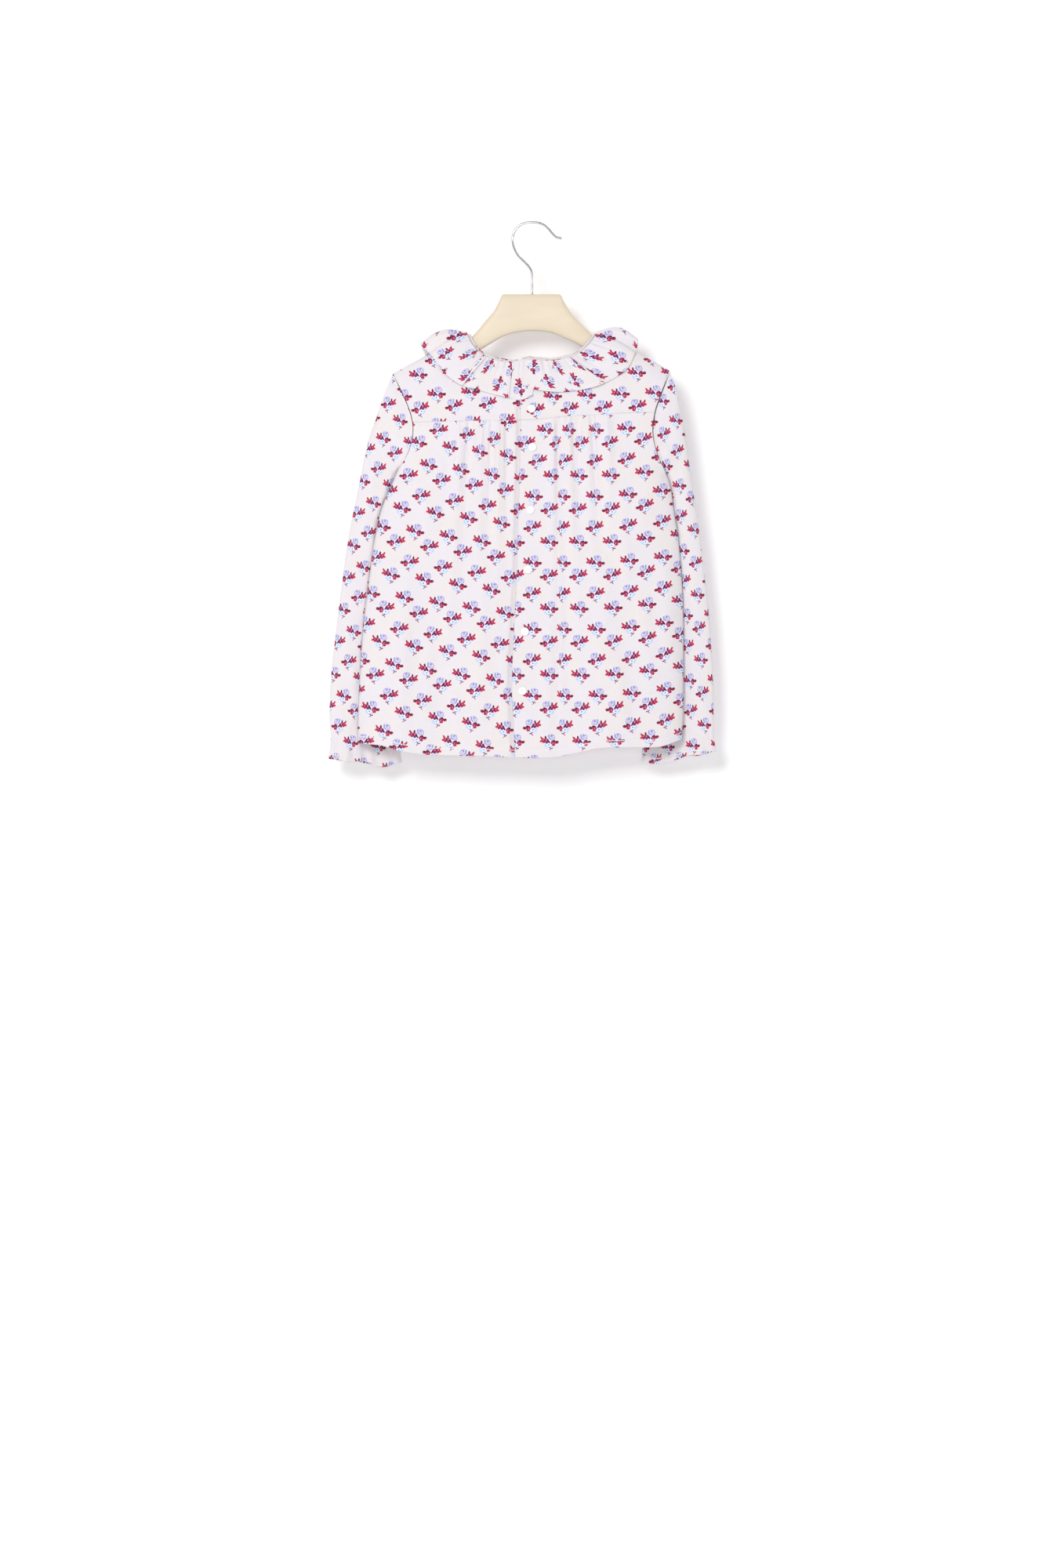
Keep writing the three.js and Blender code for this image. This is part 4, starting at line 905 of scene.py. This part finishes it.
def sleeve_point(side, turn, t):
    """Point of a sleeve: `turn` goes round from the outer edge over the back, `t` down from the
    armhole. A ring is a flat lens between its outer and inner points, hung forward, that meets the
    armhole seam at the top and flares in seven waves at the frill."""
    table = SLEEVES[side]
    get = lambda name: column(table, "t", name, t)
    arm = ARMHOLE[side]
    way = 1 if side == "left" else -1
    angle = 2 * math.pi * turn
    across = (1 - np.cos(angle)) / 2
    back = turn < 0.5
    bow = np.where(back, arm[BACK], arm[FRONT]) * (1 - smooth(t / 0.16))
    free = lerp(get("ox"), get("ix"), across) + bow * np.sin(math.pi * across**1.2)
    wave = smooth((t - 0.93) / 0.07)
    cuff = np.sin(angle * 7 + (0.6 if side == "left" else 2.1))
    droop = wave * 4 * np.sin(math.pi * across) * (0.6 + 0.4 * cuff)
    z = lerp(get("oz"), get("iz"), across) - droop
    z = z - wave * 5.5 * np.exp(-(((across - 0.78) / 0.14) ** 2)) * back
    edge = np.where(back, edge_x(side, z, BACK), edge_x(side, z, FRONT))
    later = np.clip(t - 0.02, 0, 0.16)
    gap = lerp(-2.2, -0.2, smooth(t / 0.02)) - 14 * later
    relaxed = np.maximum(0, UNDERARM_Z - 9 - z)
    x = way * np.minimum(way * free, way * edge - gap + relaxed)
    lens = get("deep") * np.abs(np.sin(angle)) ** 0.85
    seam_depth = np.where(back, depth(x, z, BACK), depth(x, z, FRONT))
    seam_depth = seam_depth - 0.5 * (1 - smooth(t / 0.02))
    beside = np.exp(-((way * (edge - x) / 15) ** 2)) * smooth((z - UNDERARM_Z + 2) / 22)
    hang = lerp(get("oy"), get("iy"), across) * np.where(back, 1 - beside, 1)
    covered = smooth((way * (x - edge) + 0.2) / 0.8)
    under = 0.5 * beside * smooth(t / 0.02) + 9 * later * beside * covered
    half = lerp(seam_depth, lens, smooth(t / 0.14) * (1 - beside)) - under
    half = half + 2.2 * wave * cuff * np.abs(np.sin(angle))
    y = hang + np.where(back, -1, 1) * np.maximum(half, 0.15)
    rim = edge_x(side, np.minimum(z, UNDERARM_Z), FRONT)
    outside = way * (rim - x)
    reach = np.where(outside > 0, SEAM - 1.1 * outside, depth(x, np.minimum(z, UNDERARM_Z), FRONT))
    floor_y = reach + FRONT_CLEAR - 1.5 * np.maximum(0, z - UNDERARM_Z)
    lifted = np.where(
        back, np.maximum(y, lerp(y, floor_y, smooth(t / 0.016))),
        np.maximum(y, floor_y + 3 * np.abs(np.sin(angle)) ** 0.6))
    y = lerp(y, lifted, smooth((t - 0.004) / 0.01))
    return np.stack([x, y, z], -1)


def sleeve(side):
    """The sleeve's grid, raised along its normal by its creases, by fine pleats at the elastic and
    by small waves in the frill."""
    around, down = 132, spaced((0, 6), (0.02, 36), (0.2, 74), (0.88, 34), (1, 1))
    turns, t = np.meshgrid(np.arange(around) / around, down)
    points = sleeve_point(side, turns, t)
    turn = -1 if side == "left" else 1
    x, z = points[..., 0], points[..., 2]
    angle = 2 * math.pi * turns
    inside = np.abs(np.sin(angle)) ** 0.7
    back_half = smooth(np.sin(angle) * 3)
    lower = rows("x0,z0,x1,z1,left,right,high", *[
        (row.x0 + 6, row.z0 - 14, row.x1 - 4, row.z1 - 4, row.right, row.left, row.high)
        for row in SLEEVE_CREASES[side]])
    relief = creases(x, z, SLEEVE_CREASES[side]) * back_half
    relief = relief + creases(x, z, lower) * (1 - back_half)
    relief = relief * inside * smooth(t / 0.02) * smooth((0.975 - t) / 0.03)
    pinch = np.exp(-(((t - PINCH_AT) / 0.022) ** 2))
    pleats = np.sin(angle * 31 + 2.2 * np.sin(angle * 3)) + 0.6 * np.sin(angle * 19 + 1.3)
    relief = relief + 0.42 * pinch * pleats * inside - 1.0 * pinch * inside
    ends = smooth((t - 0.955) / 0.03)
    relief = relief + ends * 0.9 * np.sin(angle * 15 + 1.1 * np.sin(angle * 4)) * inside
    points = points + normals(points, turn, True) * relief[..., None]
    closed = np.concatenate([points, points[:, :1]], 1)
    x, z = closed[..., 0], closed[..., 2]
    # The front half's print is the back half's carried on round the outer edge.
    outer = np.interp(-z, -closed[:, 0, 2], closed[:, 0, 0])
    behind = np.arange(around + 1)[None, :] * 2 <= around
    start, degrees, scale = SLEEVE_PRINT[side]
    u, v = turned_print(np.where(behind, x, 2 * outer - x), z, start, degrees)
    cloth = np.stack([u * scale, v * 1.02], 2)
    girth = run_length(closed)
    middle = closed[:, around // 4]
    run = np.cumsum(np.linalg.norm(np.diff(middle, axis=0, prepend=middle[:1]), axis=1))
    from_end = np.repeat((run[-1] - run)[:, None], around + 1, 1)
    trim = np.stack([girth, from_end - HEM_STITCH], 2)
    return cut_piece(f"sleeve_{side}_cotton", points, cloth, trim, turn, closed=True)


for side in ("left", "right"):
    arm_piece = sleeve(side)
    settle(arm_piece, f"sleeve_{side}")


# Collar frill.
# One long strip, gathered along its neck edge and hemmed along its free edge. It starts under the
# right end at the centre back, goes over the left shoulder, round the front and over the right
# shoulder, and its far end lies on top. Here and there it folds over on itself.
FRILL = rows(
    "nx,nz,ex,ez,psi,off,out,roll", (3, -173, 1, -221, 0, 3.2, 3.6, 0.6),
    (-14, -174.5, -17, -226, 0, 2.6, 4.6, 1), (-30, -177, -38, -221.5, 0, 1.8, 5, 1.5),
    (-45, -175, -62, -215.5, 0, 1.8, 6, 2), (-58, -170.5, -88, -208.5, 0, 1.8, 9, 3),
    (-69, -164, -112, -192, 4, 1.8, 5, 4), (-78, -152, -128, -170, 10, 1.9, 8, 6),
    (-81.4, -145, -136, -162.5, 22, 2.4, 9, 9), (-83.5, -139.5, -143, -156.5, 90, 2, 8, 11),
    (-81, -146.5, -138, -166, 158, 2.4, 9, 9), (-78.5, -156, -128, -183, 170, 1.9, 8, 6),
    (-69, -174.5, -109, -213, 176, 1.8, 6, 4), (-51, -191.5, -78, -239, 180, 1.8, 6, 3),
    (-27, -201.5, -40, -252, 180, 1.8, 5, 2), (0, -204.5, 0, -257, 180, 1.8, 6, 2),
    (27, -201.5, 40, -252, 180, 1.8, 5, 2), (51, -191.5, 77, -239, 180, 1.8, 6, 3),
    (69, -174.5, 105, -212, 184, 1.8, 6, 4), (77.5, -155, 124, -180, 190, 1.9, 8, 6),
    (80, -146, 131, -162, 202, 2.4, 9, 9), (82.5, -139, 135, -151.5, 270, 2, 8, 11),
    (79.5, -144.5, 133.5, -159, 338, 2.4, 9, 9), (76, -150, 130.5, -168, 350, 1.9, 8, 6),
    (69, -158, 123, -184, 356, 1.8, 6, 4), (56, -168.5, 106, -197.5, 360, 1.8, 7, 3),
    (40, -173, 75, -210.5, 360, 1.8, 6, 2.5), (24, -175.5, 38, -216, 360, 1.8, 7.5, 2),
    (6, -175, 10, -214, 360, 4.8, 8.2, 1.2), (-12, -174, -13, -207, 360, 5.2, 9, 1))
FRILL_K = np.rec.fromarrays(
    [np.arange(len(FRILL), dtype=float), *[FRILL[name] for name in FRILL.dtype.names]],
    names="k," + ",".join(FRILL.dtype.names))

# Where the strip folds over on itself: run along the strip, station reached and lift off the body.
OVERLAPS = rows(
    "run,k,lift", (0, 0, 0), (1.62, 1.62, 0), (1.86, 1.86, 0.1), (2.06, 1.58, 0.8),
    (2.5, 1.98, 1.3), (3.2, 2.7, 0.4),
    (5.0, 4.55, 0), (5.25, 4.72, 0.3), (5.75, 4.0, 1.6), (6.3, 4.6, 2.4), (7.6, 6.0, 0.8),
    (9.6, 8, 0),
    (13.8, 12.2, 0), (14.2, 12.5, 0.2), (14.5, 12.15, 1.0), (15.3, 13.0, 0.6), (18.4, 16, 0),
    (22.4, 20, 0), (26.9, 24.5, 0), (27.2, 24.7, 0.2), (27.45, 24.45, 0.9), (28.2, 25.1, 0.5),
    (31.1, 28, 0))


def off_body(x, z, psi, off):
    """A point off the body along the direction that psi names: 0 or 360 back, 180 front."""
    cosine = np.cos(np.radians(psi))
    reach = np.where(cosine > 0, depth(x, z, BACK), depth(x, z, FRONT))
    square = np.sign(cosine) * np.abs(cosine) ** 0.6
    lift = np.abs(np.sin(np.radians(psi))) * off * 0.4
    return np.stack([x, -square * (reach + off), z + lift], -1)


def frill_point(run, w):
    """Point of the frill at `run` along the strip and `w` from the neck (0) to the free edge (1):
    between its station's neck and edge points, standing off the body in soft waves that grow
    outwards and in fine gathers that grow towards the neck."""
    k = sum(np.interp(run + step, OVERLAPS.run, OVERLAPS.k) for step in (-0.05, 0, 0.05)) / 3
    lift = column(OVERLAPS, "run", "lift", run)
    get = lambda name: column(FRILL_K, "k", name, k)
    psi = get("psi")
    across = w**0.9
    x = lerp(get("nx"), get("ex"), across)
    z = lerp(get("nz"), get("ez"), across)
    u = k / 28
    wave = 1.6 * w * np.sin(2 * math.pi * 17 * u + 0.9 * np.sin(9 * u))
    tight = np.exp(-((w / 0.42) ** 2)) * smooth(w / 0.05)
    ripple = np.sin(run * 9.3 + 1.4 * np.sin(run * 2.1)) + 0.5 * np.sin(run * 15.1 + 2)
    fine = 0.8 * tight * ripple
    roll = get("roll")
    flat = smooth((np.abs(np.cos(np.radians(psi))) - 0.6) / 0.35)
    out = get("out") * lerp(1, 0.34, flat)
    off = lerp(get("off"), out, w) + roll * 0.5 * np.sin(math.pi * w)
    off = off + wave * lerp(1, 0.6, flat) + fine
    off = off + lift * smooth(w / 0.25 + 0.25)
    points = off_body(x, z, psi, off)
    points[..., 2] += np.abs(np.sin(np.radians(psi))) * roll * 0.75 * np.sin(math.pi * w)
    return points


FRILL_WIDE = 47
FRILL_STITCH = 5.0            # from the free edge to its hem's stitching
FRILL_PRINT = {"left": (31.0, 56.5), "right": (-31.0, 75.0)}


def collar_frill():
    """The strip's grid. Its grain runs along it, with the sprigs' tops away from the centre back on
    both sides; they change over at the centre front."""
    run, w = np.meshgrid(
        np.linspace(0, OVERLAPS.run[-1], 640), spaced((0, 3), (0.06, 18), (0.9, 4), (1, 1)))
    points = frill_point(run, w)
    u = np.repeat(run_length(points)[-4:-3], len(w), 0)
    far = u[:, -1:] - u
    on_left = u < far
    left, right = FRILL_PRINT["left"], FRILL_PRINT["right"]
    out = w * FRILL_WIDE
    cloth = np.stack([
        np.where(on_left, left[0] - out, right[0] + out),
        np.where(on_left, left[1] - u, right[1] - far)], 2)
    trim = np.stack([u, (1 - w) * FRILL_WIDE - FRILL_STITCH], 2)
    return cut_piece("collar_frill_cotton", points, cloth, trim, 1)


frill = collar_frill()
settle(frill, "collar_frill")


# Neck binding.
# A narrow folded strip of the same cotton sewn round the neck edge; a thin rim of it shows above
# the frill's gathers.
NECK_MIDDLE_Z = -120          # the binding leans towards this height above the neck's middle
BINDING_WIDE = 2.4
BINDING_THICK = 0.9


def binding_point(u, w):
    """The neck edge carried on towards the middle of the neck, from the lap over the left
    shoulder, along the front and over the right shoulder back to the lap."""
    share = 0.27
    on_front = (u > share) & (u < 1 - share)
    part = np.where(on_front, (u - share) / (1 - 2 * share), np.minimum(u, 1 - u) / share)
    back = np.sin(part * math.pi / 2)
    across = lerp(NECK_FRONT.x[0], NECK_FRONT.x[-1], (1 - np.cos(part * math.pi)) / 2)
    behind = np.where(u < 0.5, lerp(-19, NECK_BACK.x[0], back), lerp(-13.5, NECK_BACK.x[-1], back))
    x = np.where(on_front, across, behind)
    z = np.where(on_front, column(NECK_FRONT, "x", "z", x), column(NECK_BACK, "x", "z", x))
    far = np.hypot(x, NECK_MIDDLE_Z - z)
    rise = 0.4 + BINDING_WIDE * w
    bx, bz = x - x / far * rise, z + (NECK_MIDDLE_Z - z) / far * rise
    bulge = 0.5 * np.sin(math.pi * np.clip(w, 0, 1)) + 0.15 * np.sin(u * 420 + 3 * np.sin(u * 37))
    reach = np.where(on_front, depth(bx, bz, FRONT), depth(bx, bz, BACK)) + bulge
    return np.stack([bx, np.where(on_front, reach, -reach), bz], -1)


def neck_binding():
    u, w = np.meshgrid(np.linspace(0, 1, 420), np.linspace(0, 1, 7))
    points = binding_point(u, w)
    run = run_length(points)
    cloth = np.stack([run * 0.7 + w * 3, run * 0.7 - w * 3 + 9], 2)
    trim = np.stack([run, w * 3.4 - 0.9], 2)
    return cut_piece("neck_binding_cotton", points, cloth, trim, -1, thick=BINDING_THICK)


binding = neck_binding()
settle(binding, "neck_binding")


# Buttons.
# Six flat pearl-white two-hole buttons with a dished middle, sewn through both holes with white
# thread; the lowest one also catches the lap.
BUTTONS = rows(
    "x,z", (-1, -237), (0, -286), (-2.5, -366), (-5.5, -442), (-9.5, -521), (-12.5, -596.5))
BUTTON_R = 5.15
BUTTON_T = 2.3
HOLE_R = 0.95
HOLE_OFF = 1.3                # from the button's middle to a hole's


def pearl_finish():
    """Moulded pearl: pale, glossy, with cloudy bands that change the gloss and the tone."""
    material, shader, start = start_material("pearl")
    place = start.node("ShaderNodeTexCoord", out="Object")
    wavy = place.noise(420.0, 3.0, 0.6)
    bands = wavy.twin("Fac").fade(0.4, 0.6)
    colour = bands.blend(dye(253, 252, 251), dye(246, 244, 247))
    join(colour, shader, "Base Color")
    join(0.18 + 0.14 * bands, shader, "Roughness")
    bump = start.node(
        "ShaderNodeBump", None, {"Strength": 0.15, "Distance": 0.0002, "Height": bands})
    join(bump, shader, "Normal")
    shader.inputs["Coat Weight"].default_value = 0.4
    shader.inputs["Coat Roughness"].default_value = 0.12
    return material


pearl = pearl_finish()


def button_relief(x, z):
    """Height of a button's face over its back: a rounded rim, a dished middle and two deep holes
    one above the other."""
    r = np.hypot(x, z)
    dish = 0.7 * smooth((BUTTON_R - 1.3 - r) / 1.0)
    rim = BUTTON_T - dish - 1.1 * (1 - dome((BUTTON_R - r) / 0.7))
    holes = sum(smooth((HOLE_R - np.hypot(x, z - way * HOLE_OFF)) / 0.25) for way in (-1, 1))
    return rim - 1.3 * holes


def rings_closed(rings):
    """Points, quads and triangles of a stack of rings (count, sides, 3) whose two ends are closed
    by triangles to the middle of the last ring."""
    count, sides = rings.shape[:2]
    j, i = np.mgrid[0:count - 1, 0:sides]
    after = (i + 1) % sides
    here, below = j * sides, (j + 1) * sides
    quads = np.stack([here + i, here + after, below + after, below + i], -1)
    first, last = count * sides, count * sides + 1
    k, low = np.arange(sides), (count - 1) * sides
    top = np.stack([(k + 1) % sides, k, 0 * k + first], 1)
    end = np.stack([low + k, low + (k + 1) % sides, 0 * k + last], 1)
    spots = np.concatenate([rings.reshape(-1, 3), [rings[0].mean(axis=0), rings[-1].mean(axis=0)]])
    return spots, quads.reshape(-1, 4), np.concatenate([top, end])


def button(number, row):
    """A disc of rings: out over the face by button_relief, round the edge and in over the back."""
    out = np.concatenate([np.linspace(0.25, 4.4, 30), np.linspace(4.5, BUTTON_R, 12)])
    r, a = np.meshgrid(out, np.linspace(2 * math.pi, 0, 56, endpoint=False), indexing="ij")
    x, z = r * np.cos(a), r * np.sin(a)
    face = np.stack([x, -button_relief(x, z), z], 2)
    edge = face[-1:] * np.array([1, 0, 1]) - np.array([0, 0.5, 0])
    under = np.stack([x[::-6], 0 * x[::-6], z[::-6]], 2) * 0.94
    reach = max(
        float(depth(row.x + dx, row.z + dz, BACK)) for dx in (-4, 0, 4) for dz in (-4, 0, 4))
    rings = np.concatenate([face, edge, under]) + np.array([row.x, -reach - 0.55, row.z])
    spots, quads, caps = rings_closed(rings)
    disc = make_mesh(f"pearl_button_{number}", spots / 1000, quads, pearl, caps=caps)
    settle(disc, f"button_{number}")
    return reach


def thread_finish():
    """White sewing thread: twisted strands as fine slanting bumps, painted darker in the grooves
    between them and lighter on their crests as painted shade and light.
    """
    material, shader, start = start_material("sewing_thread")
    place = start.node("ShaderNodeTexCoord", out="Object")
    turned = start.node(
        "ShaderNodeMapping", None, {"Vector": place, "Rotation": (0, math.radians(35), 0)})
    split = start.node("ShaderNodeSeparateXYZ", None, {0: turned})
    strands_and_painted_shade = start.math("SINE", split.twin("Z") * 14000.0)
    # Painted shade and light: the strands' grooves are coloured darker, their crests lighter.
    colour = (strands_and_painted_shade * 0.5 + 0.5).blend(dye(226, 220, 222), dye(248, 245, 246))
    join(colour, shader, "Base Color")
    bump = start.node(
        "ShaderNodeBump", None, {"Strength": 0.4, "Distance": 0.0001, "Height": strands_and_painted_shade})
    join(bump, shader, "Normal")
    shader.inputs["Roughness"].default_value = 0.7
    return material


def tube(path, radius, sides):
    """Rings of a round tube along a path: each ring is square to the path's direction there, from
    one normal carried along with it. `radius` is a number or one for each point."""
    heading = np.gradient(path, axis=0)
    heading /= np.linalg.norm(heading, axis=1, keepdims=True)
    flat = np.array([0.0, 1.0, 0.0])
    second = np.cross(heading, flat)
    second /= np.maximum(np.linalg.norm(second, axis=1, keepdims=True), 1e-9)
    first = np.cross(second, heading)
    a = np.linspace(0, 2 * math.pi, sides, endpoint=False)[None, :, None]
    spread = np.broadcast_to(np.asarray(radius, dtype=float), (len(path),))[:, None, None]
    return path[:, None] + spread * (np.cos(a) * first[:, None] + np.sin(a) * second[:, None])


reaches = [button(k + 1, row) for k, row in enumerate(BUTTONS)]
bars = []
for k, row in enumerate(BUTTONS):
    a = np.linspace(-1, 1, 15)
    rise = reaches[k] + 1.9 + 0.55 * np.sqrt(1 - a**2)
    arch = np.stack([row.x + 0.12 * np.sin(3 * a), -rise, row.z + 1.35 * a], 1)
    thin = 0.34 * np.sqrt(np.clip(1.02 - a**8, 0.02, 1))
    bars.append(rings_closed(tube(arch, thin, 10)))
spots, quads, caps = [np.concatenate(part) for part in zip(*[
    (bar[0], bar[1] + k * len(bar[0]), bar[2] + k * len(bar[0])) for k, bar in enumerate(bars)])]
threads = make_mesh("button_threads", spots / 1000, quads, thread_finish(), caps=caps)
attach(threads, "root")


# Hanger.
# A shaped hanger moulded in cream plastic: broad and square-topped at the neck, arms that thin
# and fall to rounded ends inside the shoulders. A bent steel wire hook turns in its socket.
HANGER = rows(
    "x,top,low,half", (-151, -184, -190, 2.4), (-148, -179.5, -194, 4.2), (-140, -175, -194, 4.8),
    (-120, -164.5, -187, 5), (-100, -157, -179, 5.2), (-82, -149, -171, 4.4),
    (-70, -137.5, -163.5, 5),
    (-60, -125, -157.5, 5.6), (-50, -113.5, -151.5, 6), (-44, -103.5, -148, 6),
    (-40.5, -95.5, -146, 6),
    (-39, -91.8, -145.3, 6), (-36.5, -90.6, -144, 6), (-20, -90.5, -139, 6), (0, -90.5, -137, 6),
    (20, -90.5, -138.5, 6), (34.5, -90.6, -143, 6), (37, -91.8, -144, 6), (38.5, -95, -145, 6),
    (43, -103.5, -147, 6), (50, -114, -150, 6), (60, -125.5, -155.5, 5.6), (70, -135, -161.5, 5),
    (81, -146, -169, 4.4), (100, -155, -177, 5.3), (120, -162.7, -186, 5), (140, -172.5, -192, 4.8),
    (148, -177, -192, 4.2), (151, -181, -188, 2.4))


def cream_plastic():
    """Satin moulded plastic: faint flow marks and a fine spark-eroded grain."""
    material, shader, start = start_material("cream_plastic")
    place = start.node("ShaderNodeTexCoord", out="Object")
    stretched = start.node("ShaderNodeMapping", None, {"Vector": place, "Scale": (9, 9, 30)})
    flow = stretched.noise(2.0, 3.0, 0.5).twin("Fac")
    grain = place.noise(1500.0, 2.0, 0.6).twin("Fac")
    colour = flow.fade(0.3, 0.7).blend(dye(224, 209, 185), dye(228, 213, 190))
    join(colour, shader, "Base Color")
    join(0.36 + 0.16 * grain, shader, "Roughness")
    bump = start.node(
        "ShaderNodeBump", None, {"Strength": 0.2, "Distance": 0.0002, "Height": grain * 0.5 + flow})
    join(bump, shader, "Normal")
    shader.inputs["Specular IOR Level"].default_value = 0.4
    return material


def shaped_hanger():
    """A loft of square-rounded sections along x: each is a superellipse between the section's top
    and low heights, its ends drawn in by a quarter circle."""
    u = np.linspace(-1, 1, 260)
    x = HANGER.x[-1] * np.sign(u) * (1 - (1 - np.abs(u)) ** 1.25)
    top = column(HANGER, "x", "top", x)
    low = column(HANGER, "x", "low", x)
    half = column(HANGER, "x", "half", x)
    sides = 56
    a = 2 * math.pi * (np.arange(sides) + 0.5) / sides
    rounded = lambda value: np.sign(value) * np.abs(value) ** 0.62
    y = half[:, None] * rounded(np.cos(a))[None, :]
    z = (top + low)[:, None] / 2 + (top - low)[:, None] / 2 * rounded(np.sin(a))[None, :]
    grid = np.stack([np.repeat(x[:, None], sides, 1), y, z], 2)
    spots, quads, caps = rings_closed(grid)
    return make_mesh("hanger_shaped", spots / 1000, quads, cream_plastic(), caps=caps)


hanger = shaped_hanger()
settle(hanger, "hanger_body")

HOOK = np.array([
    (0, -102), (0, -84), (0, -66), (-1.8, -58.5), (-8.5, -50.5), (-17, -42), (-22.5, -32.5),
    (-25, -21), (-22.8, -10.5), (-16, -2.6), (-7, 0.9), (1.5, 1.4), (9, 0.5), (16, -2.8),
    (22, -8.2), (26.6, -13.8), (31, -17.6), (36, -18.8)], dtype=float)
WIRE_R = 1.4
BALL_R = 1.75


def bright_wire():
    """Nickelled steel wire: drawing lines along it and slight dulling in patches."""
    material, shader, start = start_material("bright_wire")
    place = start.node("ShaderNodeTexCoord", out="Object")
    drawn = start.node("ShaderNodeMapping", None, {"Vector": place, "Scale": (900, 900, 90)})
    lines = drawn.noise(1.0, 2.0, 0.6).twin("Fac")
    dull = place.noise(160.0, 2.0).twin("Fac").fade(0.45, 0.7)
    colour = dull.blend(dye(206, 207, 212), dye(176, 176, 182))
    join(colour, shader, "Base Color")
    join(0.12 + 0.1 * dull + 0.05 * lines, shader, "Roughness")
    bump = start.node(
        "ShaderNodeBump", None, {"Strength": 0.12, "Distance": 0.0001, "Height": lines})
    join(bump, shader, "Normal")
    shader.inputs["Metallic"].default_value = 1.0
    return material


def wire_hook():
    """A round wire along a uniform Catmull-Rom curve through the hook's points, with a ball at its
    tip.
    """
    path = np.stack([HOOK[:, 0], 0 * HOOK[:, 0], HOOK[:, 1]], 1)
    before, after = 2 * path[0] - path[1], 2 * path[-1] - path[-2]
    nodes = np.concatenate([[before], path, [after]])
    steps = np.linspace(0, 1, 14, endpoint=False)[:, None]
    spans = []
    for a, b, c, d in zip(nodes, nodes[1:], nodes[2:], nodes[3:]):
        spans.append(0.5 * (2 * b + (c - a) * steps + (2 * a - 5 * b + 4 * c - d) * steps**2
                            + (3 * b - a - 3 * c + d) * steps**3))
    line = np.concatenate([*spans, path[-1:]])
    heading = line[-1] - line[-2]
    heading /= np.linalg.norm(heading)
    turn = np.linspace(math.pi - math.asin(WIRE_R / BALL_R), 0.12, 12)
    tips = path[-1] + BALL_R * np.cos(turn)[:, None] * heading
    line = line[np.linalg.norm(line - path[-1], axis=1) > 1.3]
    radius = np.concatenate([np.full(len(line), WIRE_R), BALL_R * np.sin(turn)])
    spots, quads, caps = rings_closed(tube(np.concatenate([line, tips]), radius, 24))
    return make_mesh("hook_wire", spots / 1000, quads, bright_wire(), caps=caps)


hook = wire_hook()
settle(hook, "hanger_hook")
